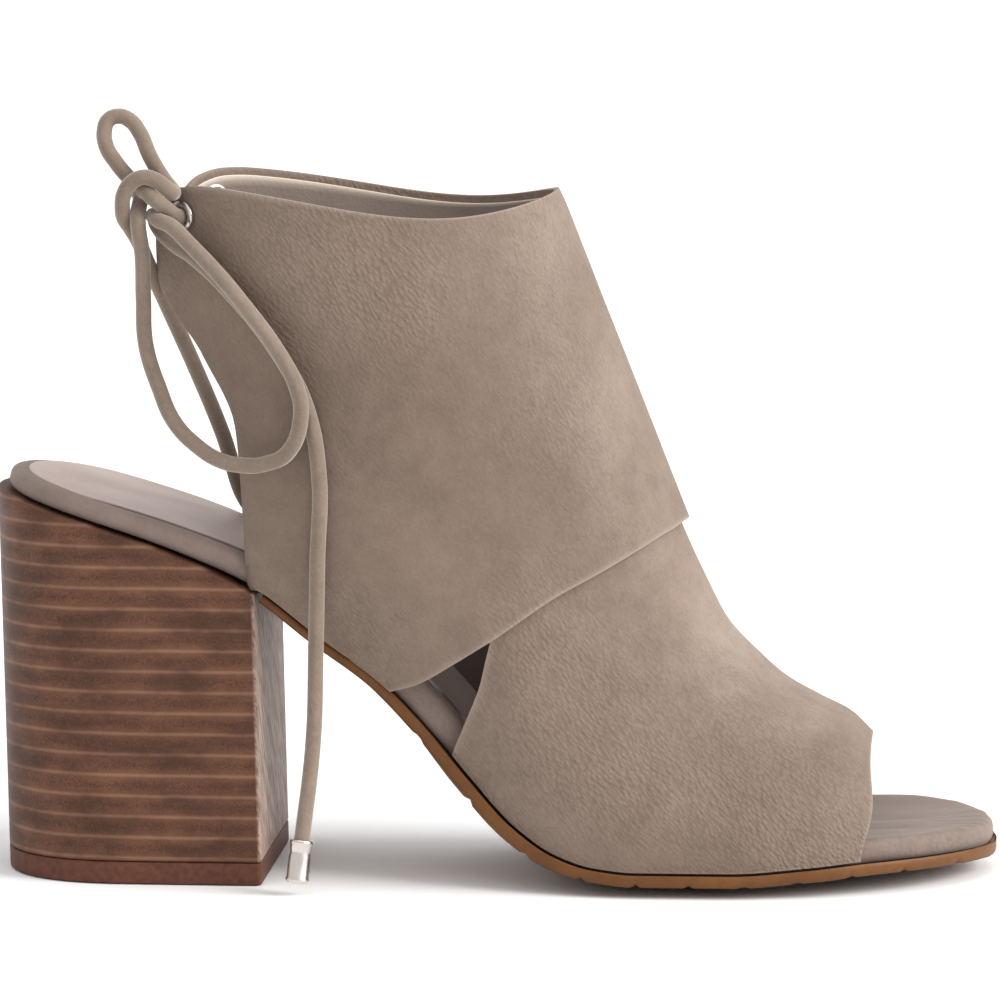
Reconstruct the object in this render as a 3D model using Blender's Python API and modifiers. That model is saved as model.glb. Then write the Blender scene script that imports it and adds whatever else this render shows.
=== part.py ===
# Peep toe ankle boot, the right shoe, standing on its sole.
# X runs from the heel to the toe, Y to the inner side of the foot and Z up.
# The origin lies on the floor, at the middle of the heel's tread.

import bpy
import bmesh
from collections import namedtuple
from math import asin, cos, pi, radians, sin
from mathutils import Matrix, Vector

# Driving sizes, in metres
SHOE_LENGTH = 0.2254
SEAT_HEIGHT = 0.0877
BALL_WIDTH = 0.0785
SEAT_WIDTH = 0.0580
HEEL_LENGTH = 0.0602
HEEL_RAKE = 0.0020
BREAST_CORNER = 0.0012
TOP_LIFT = 0.0050
TOE_SPRING = 0.0034
EDGE_RISE = 0.0026
OUTSOLE_WALL = 0.0026
PAD_HEIGHT = 0.0055
COLLAR_HEIGHT = 0.1529
COLLAR_REACH = 0.0940
COLLAR_DIP = 0.0045
VAMP_WALL = 0.0016
SHAFT_WALL = 0.0018
RIDGE_SET = 0.0050
GAP = 0.0003

# Outsole edge, tread grooves and seats of the upper
SOLE_LEDGE = 0.0013
FOOT_LIFT = 0.0006
GROOVE_COUNT = 10
GROOVE_PITCH = 0.01175
GROOVE_FROM_TIP = 0.0087
GROOVE_WIDTH = 0.0013
GROOVE_DEPTH = 0.0007

# Shares of the half width where the sole starts to rise, and where its edge is square
RISE_START = 0.45
EDGE_SHARE = 0.985
EDGE_THINNING = 0.75

# Insole setbacks from the outsole's edge
PAD_SETBACK = 0.0014
PAD_BACK_SETBACK = 0.0021
PAD_TOE_SETBACK = 0.0007

# Tie cord and its metal parts
CORD_DIAMETER = 0.0035
CORD_CLEARANCE = 0.0004
EYELET_WALL = 0.0004
EYELET_LIP = 0.0009
LIP_WALL = 0.0005
LIP_STAND = 0.0006
EYELET_SECTION = 15.63
EYELET_ACROSS = 0.915
TIP_LENGTH = 0.0096
TIP_DIAMETER = 0.0053
KNOT_SIZE = (0.0146, 0.0100, 0.0124)
KNOT_CLEARANCE = 0.0007

HEEL_BACK = -HEEL_LENGTH / 2
HEEL_BREAST = HEEL_LENGTH / 2
SEAT_BACK = HEEL_BACK - HEEL_RAKE
TOE_TIP = SEAT_BACK + SHOE_LENGTH
TREAD_TOP = OUTSOLE_WALL + GAP

# Ends of the sole are rounded over these shares of its length
SEAT_ROUND = 0.135
TOE_ROUND = 0.192
END_SHARE = 0.985
SEAT_POWER = 2.3
TOE_POWER = 2.4
ROUNDING_SHARES = (0.0, 0.2, 0.4, 0.6, 0.77, 0.89, 0.96, 1.0)

# Sections of the sole. along: share of the shoe's length from the back of the seat.
# arch: share of the seat's height. spring: share of the toe spring.
# outer, inner: shares of the ball's width. rise: share of the edge's rise.
# wall: share of the outsole's wall. pad: share of the insole's height.
SoleRow = namedtuple("SoleRow", "along arch spring outer inner rise wall pad")
SOLE_ROWS = (
    SoleRow(0.000, 1.000, 0.00, 0.357, 0.357, 0.00, 0.60, 0.80),
    SoleRow(0.098, 0.930, 0.00, 0.368, 0.368, 0.00, 0.60, 0.80),
    SoleRow(0.196, 0.842, 0.00, 0.368, 0.363, 0.00, 0.60, 0.90),
    SoleRow(0.267, 0.754, 0.00, 0.350, 0.338, 0.00, 0.70, 1.00),
    SoleRow(0.329, 0.628, 0.00, 0.325, 0.306, 0.00, 0.80, 1.15),
    SoleRow(0.391, 0.507, 0.00, 0.312, 0.287, 0.10, 0.95, 1.27),
    SoleRow(0.435, 0.388, 0.00, 0.325, 0.293, 0.25, 1.35, 1.27),
    SoleRow(0.480, 0.247, 0.00, 0.357, 0.318, 0.40, 1.65, 1.20),
    SoleRow(0.524, 0.123, 0.00, 0.401, 0.363, 0.55, 1.60, 1.10),
    SoleRow(0.568, 0.043, 0.00, 0.446, 0.408, 0.80, 1.35, 1.00),
    SoleRow(0.604, 0.0125, 0.00, 0.474, 0.443, 0.90, 1.10, 1.00),
    SoleRow(0.648, 0.000, 0.00, 0.492, 0.474, 1.00, 1.00, 1.00),
    SoleRow(0.740, 0.000, 0.00, 0.488, 0.505, 1.00, 1.00, 1.00),
    SoleRow(0.817, 0.000, 0.34, 0.452, 0.510, 0.95, 1.00, 1.00),
    SoleRow(0.879, 0.000, 0.72, 0.395, 0.497, 0.80, 1.00, 1.00),
    SoleRow(0.941, 0.000, 0.87, 0.331, 0.484, 0.65, 1.00, 1.00),
    SoleRow(1.000, 0.000, 1.00, 0.268, 0.471, 0.50, 1.00, 1.00),
)

# Sections of the upper, fanned from the toe opening round to the collar.
# along: where the section's feet stand, as a share of the shoe's length.
# lift: how far the feet stand up the open back, as a share of the collar's height there.
# back: half the width between the feet, as a share of half the seat's width, off the sole.
# reach, top: the ridge's place, as shares of the collar's reach and height.
# bulge: widest half over the half at the feet. widest: its place up the section.
# full: roundness of the section. set: share of the ridge's set. dip: share of the collar's dip.
UpperRow = namedtuple("UpperRow", "along lift back reach top bulge widest full set dip")
UPPER_ROWS = (
    UpperRow(0.868, 0.00, 0.90, 1.758, 0.197, 1.04, 0.25, 2.10, 1.00, 0.00),
    UpperRow(0.839, 0.00, 0.90, 1.705, 0.229, 1.03, 0.24, 2.10, 1.00, 0.00),
    UpperRow(0.799, 0.00, 0.90, 1.630, 0.254, 1.02, 0.22, 2.05, 1.00, 0.00),
    UpperRow(0.746, 0.00, 0.90, 1.552, 0.282, 1.02, 0.20, 2.00, 1.00, 0.00),
    UpperRow(0.684, 0.00, 0.90, 1.481, 0.321, 1.02, 0.20, 1.95, 1.00, 0.00),
    UpperRow(0.622, 0.00, 0.90, 1.411, 0.368, 1.03, 0.21, 1.90, 0.95, 0.00),
    UpperRow(0.564, 0.00, 0.90, 1.358, 0.430, 1.08, 0.23, 1.85, 0.90, 0.00),
    UpperRow(0.511, 0.00, 0.90, 1.306, 0.500, 1.17, 0.26, 1.80, 0.80, 0.00),
    UpperRow(0.462, 0.00, 0.90, 1.258, 0.574, 1.29, 0.30, 1.80, 0.70, 0.00),
    UpperRow(0.404, 0.00, 0.90, 1.208, 0.653, 1.39, 0.33, 1.82, 0.60, 0.00),
    UpperRow(0.342, 0.00, 0.90, 1.151, 0.743, 1.32, 0.36, 1.85, 0.45, 0.00),
    UpperRow(0.269, 0.00, 0.90, 1.090, 0.838, 1.23, 0.38, 1.90, 0.30, 0.05),
    UpperRow(0.264, 0.17, 0.88, 1.066, 0.876, 1.29, 0.41, 1.92, 0.24, 0.15),
    UpperRow(0.256, 0.40, 0.81, 1.043, 0.912, 1.44, 0.44, 1.95, 0.18, 0.30),
    UpperRow(0.222, 0.58, 0.73, 1.020, 0.948, 1.65, 0.47, 2.00, 0.12, 0.55),
    UpperRow(0.178, 0.78, 0.64, 1.000, 0.979, 1.88, 0.49, 2.05, 0.06, 0.80),
    UpperRow(0.174, 1.055, 0.60, 0.984, 1.000, 2.00, 0.50, 2.10, 0.00, 1.00),
)
PlacedRow = namedtuple("PlacedRow", ("place",) + UpperRow._fields)
PLACED_ROWS = [PlacedRow(i, *row) for i, row in enumerate(UPPER_ROWS)]
BACK_BLEND = 0.16
DIP_POWER = 1.9

# Edges of the two panels over the upper. across: -1 at the outer foot, 0 at the
# ridge and 1 at the inner foot. section: place along the fan, counted in sections.
EdgeRow = namedtuple("EdgeRow", "across section")
VAMP_BACK_ROWS = (
    EdgeRow(-1.00, 8.00),
    EdgeRow(-0.90, 8.11),
    EdgeRow(-0.79, 8.27),
    EdgeRow(-0.68, 8.54),
    EdgeRow(-0.58, 8.85),
    EdgeRow(-0.45, 9.00),
    EdgeRow(-0.25, 8.70),
    EdgeRow(0.00, 8.40),
    EdgeRow(0.40, 9.00),
    EdgeRow(0.70, 9.60),
    EdgeRow(1.00, 9.90),
)
SHAFT_FRONT_ROWS = (
    EdgeRow(-1.00, 9.02),
    EdgeRow(-0.90, 8.83),
    EdgeRow(-0.79, 8.70),
    EdgeRow(-0.68, 8.57),
    EdgeRow(-0.54, 8.35),
    EdgeRow(-0.38, 7.91),
    EdgeRow(-0.26, 7.60),
    EdgeRow(-0.12, 7.32),
    EdgeRow(0.00, 7.22),
    EdgeRow(0.15, 7.36),
    EdgeRow(0.35, 7.80),
    EdgeRow(0.60, 8.35),
    EdgeRow(0.80, 8.70),
    EdgeRow(1.00, 9.02),
)
COLLAR_ROWS = (
    EdgeRow(-1.00, 15.67),
    EdgeRow(-0.94, 15.89),
    EdgeRow(-0.88, 15.98),
    EdgeRow(-0.82, 16.00),
    EdgeRow(0.82, 16.00),
    EdgeRow(0.88, 15.98),
    EdgeRow(0.94, 15.89),
    EdgeRow(1.00, 15.67),
)
VAMP_STEPS = (18, 32)
SHAFT_STEPS = (20, 34)

BOOT = bpy.data.collections.new("peep_toe_ankle_boot")
CUTTERS = bpy.data.collections.new("cutters")


# Smooth curve through a table's column, flat where two rows are equal
def follow(rows, column, at):
    key = rows[0]._fields[0]
    places = [getattr(row, key) for row in rows]
    values = [getattr(row, column) for row in rows]
    if at <= places[0]:
        return values[0]
    if at >= places[-1]:
        return values[-1]
    i = max(k for k in range(len(rows) - 1) if places[k] <= at)
    spans = [places[k + 1] - places[k] for k in range(len(rows) - 1)]
    slopes = [(values[k + 1] - values[k]) / spans[k] for k in range(len(rows) - 1)]

    def tangent(k):
        if k == 0:
            return slopes[0]
        if k == len(rows) - 1:
            return slopes[-1]
        before = slopes[k - 1]
        after = slopes[k]
        if before * after <= 0:
            return 0.0
        return 2 * before * after / (before + after)

    span = spans[i]
    t = (at - places[i]) / span
    blend = t * t * (3 - 2 * t)
    early = t * (1 - t) * (1 - t) * span
    late = t * t * (1 - t) * span
    return values[i] * (1 - blend) + values[i + 1] * blend + early * tangent(i) - late * tangent(i + 1)


def share_along(x):
    return (x - SEAT_BACK) / SHOE_LENGTH


def sole_value(column, x):
    return follow(SOLE_ROWS, column, share_along(x))


# Height of the insole's underside on the middle line
def feather_height(x):
    arch = sole_value("arch", x) * (SEAT_HEIGHT - TREAD_TOP)
    return TREAD_TOP + arch + sole_value("spring", x) * TOE_SPRING


# Part of the full width that an end rounded over a span still has
def end_round(depth, span, power):
    share = min(max(depth / span, 0.0), 1.0) * END_SHARE
    return (1 - share ** power) ** (1 / power)


# Outer and inner edge of the sole at a place, with both ends set in
def sole_edges(x, back_setback=0.0, toe_setback=0.0):
    outer = sole_value("outer", x) * BALL_WIDTH
    inner = sole_value("inner", x) * BALL_WIDTH
    seat_span = SEAT_ROUND * SHOE_LENGTH
    toe_span = TOE_ROUND * SHOE_LENGTH
    seat_start = SEAT_BACK + seat_span
    toe_start = TOE_TIP - toe_span
    part = 1.0
    if x < seat_start:
        part = end_round(seat_start - x, seat_span - back_setback, SEAT_POWER)
    if x > toe_start:
        part = end_round(x - toe_start, toe_span - toe_setback, TOE_POWER)
    middle = (inner - outer) / 2
    half = (inner + outer) / 2 * part
    return middle - half, middle + half


# Turn of the sole's middle line at a place, as a unit normal
def sole_normal(x):
    step = 0.0004
    rise = feather_height(x + step) - feather_height(x - step)
    return Vector((-rise, 0.0, 2 * step)).normalized()


# Rise of the sole towards its edges. across runs from -1 to 1
def edge_lift(x, across):
    side = max(0.0, (abs(across) - RISE_START) / (1 - RISE_START))
    return sole_value("rise", x) * EDGE_RISE * side * side


# Point of the sole: y across, and a height over the insole's underside
def sole_point(x, y, across, height):
    point = Vector((x, y, feather_height(x) + edge_lift(x, across)))
    return point + sole_normal(x) * height


def new_material(name, colour, roughness, metallic=0.0):
    material = bpy.data.materials.new(name)
    material.use_nodes = True
    shader = material.node_tree.nodes["Principled BSDF"]
    shader.inputs["Base Color"].default_value = (*colour, 1.0)
    shader.inputs["Roughness"].default_value = roughness
    shader.inputs["Metallic"].default_value = metallic
    return material


def add_object(name, mesh, material, collection=BOOT):
    piece = bpy.data.objects.new(name, mesh)
    collection.objects.link(piece)
    mesh.materials.append(material)
    return piece


def smooth_shade(mesh, angle=35):
    mesh.shade_smooth()
    mesh.set_sharp_from_angle(angle=radians(angle))


# Closed loft through rings of points, with a face over each end
def loft(name, rings, material, collection=BOOT):
    mesh = bpy.data.meshes.new(name)
    shape = bmesh.new()
    loops = [[shape.verts.new(point) for point in ring] for ring in rings]
    count = len(rings[0])
    for near, far in zip(loops, loops[1:]):
        for i in range(count):
            j = (i + 1) % count
            shape.faces.new((near[i], near[j], far[j], far[i]))
    shape.faces.new(loops[0])
    shape.faces.new(list(reversed(loops[-1])))
    bmesh.ops.recalc_face_normals(shape, faces=shape.faces)
    shape.to_mesh(mesh)
    shape.free()
    smooth_shade(mesh)
    return add_object(name, mesh, material, collection)


# Outsole: thin and tan, from the heel's breast to the toe, rolled under at the waist
def groove_places():
    return [TOE_TIP - GROOVE_FROM_TIP - GROOVE_PITCH * i for i in range(GROOVE_COUNT)]


def groove_depth(x):
    away = min(abs(x - groove) for groove in groove_places())
    return GROOVE_DEPTH if away < GROOVE_WIDTH * 0.35 else 0.0


def outsole_wall(x, across):
    middle = sole_value("wall", x) * OUTSOLE_WALL
    edge = min(middle, OUTSOLE_WALL)
    side = max(0.0, (abs(across) - RISE_START) / (1 - RISE_START))
    return middle - (middle - edge) * side * side


def outsole_ring(x):
    outer, inner = sole_edges(x)
    middle = (inner + outer) / 2
    half = (inner - outer) / 2
    mid_rise = (1 + RISE_START) / 2
    top = (-1.0, -mid_rise, -RISE_START, 0.0, RISE_START, mid_rise, 1.0)
    under = (1.0, EDGE_SHARE, mid_rise, RISE_START, 0.0, -RISE_START, -mid_rise, -EDGE_SHARE, -1.0)
    ring = []
    for across in top:
        ring.append(sole_point(x, middle + half * across, across, -GAP))
    for across in under:
        wall = outsole_wall(x, across)
        if abs(across) == 1.0:
            wall *= EDGE_THINNING
        else:
            wall -= groove_depth(x)
        ring.append(sole_point(x, middle + half * across, across, -GAP - wall))
    return ring


def build_outsole(material):
    start = HEEL_BREAST - HEEL_RAKE + GAP + OUTSOLE_WALL * 0.8
    toe_start = TOE_TIP - TOE_ROUND * SHOE_LENGTH
    count = 20
    places = [start + (toe_start - start) * i / count for i in range(count)]
    places += [toe_start + share * (TOE_TIP - toe_start) for share in ROUNDING_SHARES]
    clear = GROOVE_WIDTH * 0.9
    places = [x for x in places if abs(min((x - groove for groove in groove_places()), key=abs)) > clear]
    for groove in groove_places():
        places += [groove + GROOVE_WIDTH * share for share in (-0.5, -0.3, 0.3, 0.5)]
    return loft("outsole", [outsole_ring(x) for x in sorted(places)], material)


# Insole: a padded board wrapped in suede, rounded all round its edge
PadRow = namedtuple("PadRow", "across height")
PAD_RING = (
    PadRow(-0.96, 0.00),
    PadRow(-1.00, 0.28),
    PadRow(-1.00, 0.68),
    PadRow(-0.965, 0.92),
    PadRow(-0.89, 1.00),
    PadRow(-0.55, 0.94),
    PadRow(0.00, 0.90),
    PadRow(0.55, 0.94),
    PadRow(0.89, 1.00),
    PadRow(0.965, 0.92),
    PadRow(1.00, 0.68),
    PadRow(1.00, 0.28),
    PadRow(0.96, 0.00),
    PadRow(0.45, 0.00),
    PadRow(0.00, 0.00),
    PadRow(-0.45, 0.00),
)
# Where the vamp's wall stands beside the insole. along: share of the shoe's length
CoverRow = namedtuple("CoverRow", "along outer inner")
COVER_ROWS = (
    CoverRow(0.000, 0.0, 0.0),
    CoverRow(0.320, 0.0, 0.0),
    CoverRow(0.345, 0.0, 1.0),
    CoverRow(0.440, 0.0, 1.0),
    CoverRow(0.462, 1.0, 1.0),
    CoverRow(0.868, 1.0, 1.0),
    CoverRow(0.882, 1.0, 1.0),
    CoverRow(0.900, 0.0, 0.0),
    CoverRow(1.000, 0.0, 0.0),
)


def insole_ring(x):
    outer, inner = sole_edges(x, PAD_BACK_SETBACK, PAD_TOE_SETBACK)
    along = share_along(x)
    cover = VAMP_WALL + GAP
    outer += PAD_SETBACK + follow(COVER_ROWS, "outer", along) * cover
    inner -= PAD_SETBACK + follow(COVER_ROWS, "inner", along) * cover
    middle = (inner + outer) / 2
    half = (inner - outer) / 2
    height = sole_value("pad", x) * PAD_HEIGHT
    ring = []
    for row in PAD_RING:
        y = middle + half * row.across
        ring.append(sole_point(x, y, row.across, row.height * height))
    return ring


def build_insole(material):
    seat_start = SEAT_BACK + SEAT_ROUND * SHOE_LENGTH
    toe_start = TOE_TIP - TOE_ROUND * SHOE_LENGTH
    back = SEAT_BACK + PAD_BACK_SETBACK
    tip = TOE_TIP - PAD_TOE_SETBACK
    count = 18
    places = [seat_start - share * (seat_start - back) for share in reversed(ROUNDING_SHARES)]
    places += [seat_start + (toe_start - seat_start) * i / count for i in range(1, count)]
    places += [toe_start + share * (tip - toe_start) for share in ROUNDING_SHARES]
    return loft("insole", [insole_ring(x) for x in places], material)


# Heel: stacked leather, round at the back and flat at the breast
def heel_outline(height):
    shift = -HEEL_RAKE * height / SEAT_HEIGHT
    round_start = HEEL_BACK + SEAT_ROUND * SHOE_LENGTH
    half = SEAT_WIDTH / 2
    side = []
    for share in reversed(ROUNDING_SHARES):
        x = round_start - share * (round_start - HEEL_BACK)
        part = end_round(round_start - x, round_start - HEEL_BACK, SEAT_POWER)
        side.append((x + shift, half * part))
    side.append((HEEL_BREAST - BREAST_CORNER + shift, half))
    side.append((HEEL_BREAST + shift, half - BREAST_CORNER))
    outline = [Vector((x, y, height)) for x, y in side]
    outline += [Vector((x, -y, height)) for x, y in reversed(side)]
    return outline


def build_heel(material):
    low = heel_outline(TOP_LIFT + GAP)
    high = heel_outline(SEAT_HEIGHT + PAD_HEIGHT)
    heel = loft("heel", [low, high], material)
    count = 14
    start = SEAT_BACK - HEEL_RAKE
    end = HEEL_BREAST + HEEL_RAKE
    line = []
    for i in range(count + 1):
        x = start + (end - start) * i / count
        line.append(sole_point(x, 0.0, 0.0, -GAP))
    line.append(Vector((end, 0.0, COLLAR_HEIGHT)))
    line.append(Vector((start, 0.0, COLLAR_HEIGHT)))
    side = Vector((0.0, SEAT_WIDTH, 0.0))
    rings = [[p - side for p in line], [p + side for p in line]]
    cutter = loft("seat_cutter", rings, material, CUTTERS)
    cutter.hide_render = True
    cutter.display_type = "WIRE"
    seat = heel.modifiers.new("seat", "BOOLEAN")
    seat.operation = "DIFFERENCE"
    seat.object = cutter


def build_top_lift(material):
    loft("top_lift", [heel_outline(0.0), heel_outline(TOP_LIFT)], material)


# Upper: one surface, fanned in sections from the toe opening round to the collar
def upper_point(section, across):
    column = {name: follow(PLACED_ROWS, name, section) for name in UpperRow._fields}
    x = SEAT_BACK + column["along"] * SHOE_LENGTH
    outer, inner = sole_edges(x)
    base = sole_point(x, 0.0, 1.0, FOOT_LIFT)
    back = column["back"] * SEAT_WIDTH / 2
    part = min(column["lift"] / BACK_BLEND, 1.0)
    foot_outer = -(outer + SOLE_LEDGE) * (1 - part) + back * part
    foot_inner = (inner - SOLE_LEDGE) * (1 - part) + back * part
    base.z += column["lift"] * (COLLAR_HEIGHT - base.z)
    ridge = Vector((column["reach"] * COLLAR_REACH, 0.0, column["top"] * COLLAR_HEIGHT))
    foot = foot_inner if across > 0 else foot_outer
    wide = foot * column["bulge"]
    limit = pi - asin(foot / wide)
    angle = abs(across) * limit
    middle = column["widest"]
    power = 2 / column["full"]
    side = 1.0 if across > 0 else -1.0
    set_in = column["set"] * RIDGE_SET
    if angle < pi / 2:
        up = middle + (1 - middle) * cos(angle) ** power
        y = set_in + (side * wide - set_in) * sin(angle) ** power
    else:
        up = middle * (1 - cos(angle) / cos(limit))
        y = side * wide * sin(angle)
    point = base.lerp(ridge, up)
    point.y = y
    point.z -= sin(pi * up ** DIP_POWER) * column["dip"] * COLLAR_DIP
    return point


def build_panel(name, front_rows, back_rows, steps, side, wall, material):
    rows_count, across_count = steps
    mesh = bpy.data.meshes.new(name)
    shape = bmesh.new()
    grid = []
    for i in range(rows_count + 1):
        line = []
        for j in range(across_count + 1):
            across = -1 + 2 * j / across_count
            front = follow(front_rows, "section", across)
            back = follow(back_rows, "section", across)
            section = front + (back - front) * i / rows_count
            line.append(shape.verts.new(upper_point(section, across)))
        grid.append(line)
    for i in range(rows_count):
        for j in range(across_count):
            corners = (grid[i][j], grid[i][j + 1], grid[i + 1][j + 1], grid[i + 1][j])
            shape.faces.new(corners)
    shape.normal_update()
    if side > 0:
        moves = [(vert, vert.normal * GAP) for vert in shape.verts]
        for vert, move in moves:
            vert.co += move
    shape.to_mesh(mesh)
    shape.free()
    smooth_shade(mesh, 60)
    panel = add_object(name, mesh, material)
    shell = panel.modifiers.new("wall", "SOLIDIFY")
    shell.thickness = wall
    shell.offset = side
    shell.use_even_offset = True
    return panel


def build_upper(material):
    toe_edge = (EdgeRow(-1.0, 0.0), EdgeRow(1.0, 0.0))
    build_panel("vamp", toe_edge, VAMP_BACK_ROWS, VAMP_STEPS, -1, VAMP_WALL, material)
    shaft = build_panel("shaft", SHAFT_FRONT_ROWS, COLLAR_ROWS, SHAFT_STEPS, 1, SHAFT_WALL, material)
    for side, name in ((-1, "outer"), (1, "inner")):
        radius = CORD_DIAMETER / 2 + CORD_CLEARANCE + EYELET_WALL + GAP
        bpy.ops.mesh.primitive_cylinder_add(vertices=24, radius=radius, depth=SHAFT_WALL * 6)
        cutter = bpy.context.object
        cutter.name = "eyelet_cutter_" + name
        cutter.matrix_world = eyelet_frame(side)
        cutter.hide_render = True
        cutter.display_type = "WIRE"
        for collection in list(cutter.users_collection):
            collection.objects.unlink(cutter)
        CUTTERS.objects.link(cutter)
        hole = shaft.modifiers.new("hole_" + name, "BOOLEAN")
        hole.operation = "DIFFERENCE"
        hole.object = cutter


# Place and turn of an eyelet: its Z axis points out of the shaft's wall
def eyelet_frame(side):
    step = 0.02
    across = side * EYELET_ACROSS
    centre = upper_point(EYELET_SECTION, across)
    up = (upper_point(EYELET_SECTION + step, across) - upper_point(EYELET_SECTION - step, across)).normalized()
    round_way = upper_point(EYELET_SECTION, across + step) - upper_point(EYELET_SECTION, across - step)
    out = up.cross(round_way).normalized()
    if out.y * side < 0:
        out.negate()
    centre += out * (GAP + SHAFT_WALL / 2)
    right = up.cross(out)
    return Matrix.Translation(centre) @ Matrix((right, up, out)).transposed().to_4x4()


# Eyelet: a turned metal ring through the wall, with a lip on either side
def build_eyelet(name, side, material):
    bore = CORD_DIAMETER / 2 + CORD_CLEARANCE
    barrel = bore + EYELET_WALL
    rim = barrel + EYELET_LIP
    under = SHAFT_WALL / 2 + LIP_STAND
    top = under + LIP_WALL
    profile = (
        (bore, top),
        (rim - LIP_WALL / 2, top),
        (rim, under),
        (barrel, under),
        (barrel, -under),
        (rim, -under),
        (rim - LIP_WALL / 2, -top),
        (bore, -top),
    )
    mesh = bpy.data.meshes.new(name)
    shape = bmesh.new()
    corners = [shape.verts.new((radius, 0.0, height)) for radius, height in profile]
    edges = [shape.edges.new(pair) for pair in zip(corners, corners[1:] + corners[:1])]
    bmesh.ops.spin(
        shape,
        geom=corners + edges,
        axis=(0.0, 0.0, 1.0),
        cent=(0.0, 0.0, 0.0),
        angle=2 * pi,
        steps=20,
        use_merge=True,
        use_duplicate=False,
    )
    bmesh.ops.remove_doubles(shape, verts=shape.verts, dist=0.00001)
    bmesh.ops.recalc_face_normals(shape, faces=shape.faces)
    shape.to_mesh(mesh)
    shape.free()
    smooth_shade(mesh)
    eyelet = add_object(name, mesh, material)
    eyelet.matrix_world = eyelet_frame(side)


# Routes of the round leather cord, in millimetres. The cord comes out of both eyelets
# into one bow, with a loop that stands up, a loop that hangs down and two tails.
MILLIMETRE = 0.001
CordPoint = namedtuple("CordPoint", "x y z")
KNOT_PLACE = CordPoint(5.4, -28.5, 153.3)
LOOP_UP = (
    CordPoint(-2.2, -25.5, 161.3),
    CordPoint(-4.2, -24.0, 164.5),
    CordPoint(-4.7, -23.0, 168.0),
    CordPoint(-3.9, -22.5, 170.5),
    CordPoint(-1.8, -22.2, 171.6),
    CordPoint(0.8, -22.5, 170.6),
    CordPoint(2.8, -23.3, 168.2),
    CordPoint(4.6, -24.5, 165.0),
    CordPoint(6.0, -26.0, 161.5),
)
LOOP_DOWN = (
    CordPoint(4.4, -29.8, 144.0),
    CordPoint(4.6, -29.3, 138.0),
    CordPoint(4.5, -29.0, 131.0),
    CordPoint(5.0, -29.2, 121.0),
    CordPoint(8.0, -30.0, 111.5),
    CordPoint(11.5, -31.0, 104.0),
    CordPoint(16.5, -32.0, 99.0),
    CordPoint(21.5, -33.0, 96.0),
    CordPoint(26.5, -34.2, 95.0),
    CordPoint(32.0, -35.8, 95.5),
    CordPoint(37.5, -37.8, 98.5),
    CordPoint(40.0, -38.9, 103.0),
    CordPoint(40.5, -39.4, 107.5),
    CordPoint(39.5, -39.5, 113.0),
    CordPoint(36.5, -39.2, 119.0),
    CordPoint(31.5, -38.7, 126.0),
    CordPoint(26.0, -37.8, 133.0),
    CordPoint(20.5, -36.3, 139.0),
    CordPoint(15.4, -34.4, 143.9),
)
TAIL_OUTER = (
    CordPoint(9.5, -27.9, 144.4),
    CordPoint(14.6, -30.8, 141.4),
    CordPoint(20.5, -32.7, 137.6),
    CordPoint(25.0, -34.1, 132.5),
    CordPoint(31.0, -35.0, 125.5),
    CordPoint(36.0, -35.5, 118.5),
    CordPoint(39.0, -35.7, 114.0),
    CordPoint(41.0, -35.8, 109.0),
    CordPoint(42.5, -35.9, 102.5),
    CordPoint(44.0, -35.9, 93.5),
    CordPoint(44.0, -35.7, 83.5),
    CordPoint(43.5, -34.8, 74.0),
    CordPoint(43.0, -34.1, 64.0),
    CordPoint(43.0, -34.0, 54.0),
    CordPoint(43.0, -34.5, 43.0),
    CordPoint(42.5, -35.3, 34.0),
    CordPoint(41.5, -36.2, 25.5),
    CordPoint(40.6, -37.2, 16.5),
    CordPoint(40.0, -38.0, 10.6),
)
TAIL_INNER = (
    CordPoint(2.3, -23.6, 144.2),
    CordPoint(3.6, -20.2, 139.5),
    CordPoint(6.5, -16.0, 132.0),
    CordPoint(10.5, -11.0, 121.5),
    CordPoint(13.5, -7.0, 113.0),
    CordPoint(16.0, -3.0, 106.0),
    CordPoint(18.0, 3.0, 98.0),
    CordPoint(19.5, 10.5, 89.0),
    CordPoint(21.5, 18.5, 80.5),
    CordPoint(23.0, 25.5, 78.0),
    CordPoint(24.0, 30.8, 74.8),
    CordPoint(24.5, 33.4, 69.0),
    CordPoint(25.0, 33.6, 60.0),
    CordPoint(25.3, 33.4, 46.0),
    CordPoint(25.5, 33.2, 32.0),
    CordPoint(25.8, 33.0, 20.0),
    CordPoint(26.0, 33.0, 12.0),
)
TIE_INNER = (
    CordPoint(9.6, 28.9, 149.4),
    CordPoint(6.5, 28.4, 149.7),
    CordPoint(4.2, 24.5, 150.2),
    CordPoint(2.6, 12.0, 151.0),
    CordPoint(1.6, -2.0, 151.5),
    CordPoint(2.0, -13.0, 152.0),
    CordPoint(3.4, -20.5, 152.6),
)


def cord_points(route):
    return [Vector(point) * MILLIMETRE for point in route]


# Place just clear of the knot's face, on the way to a point
def knot_face(toward):
    centre = cord_points([KNOT_PLACE])[0]
    way = toward - centre
    reach = sum((2 * step / size) ** 2 for step, size in zip(way, KNOT_SIZE)) ** 0.5
    return centre + way / reach + way.normalized() * KNOT_CLEARANCE


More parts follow.
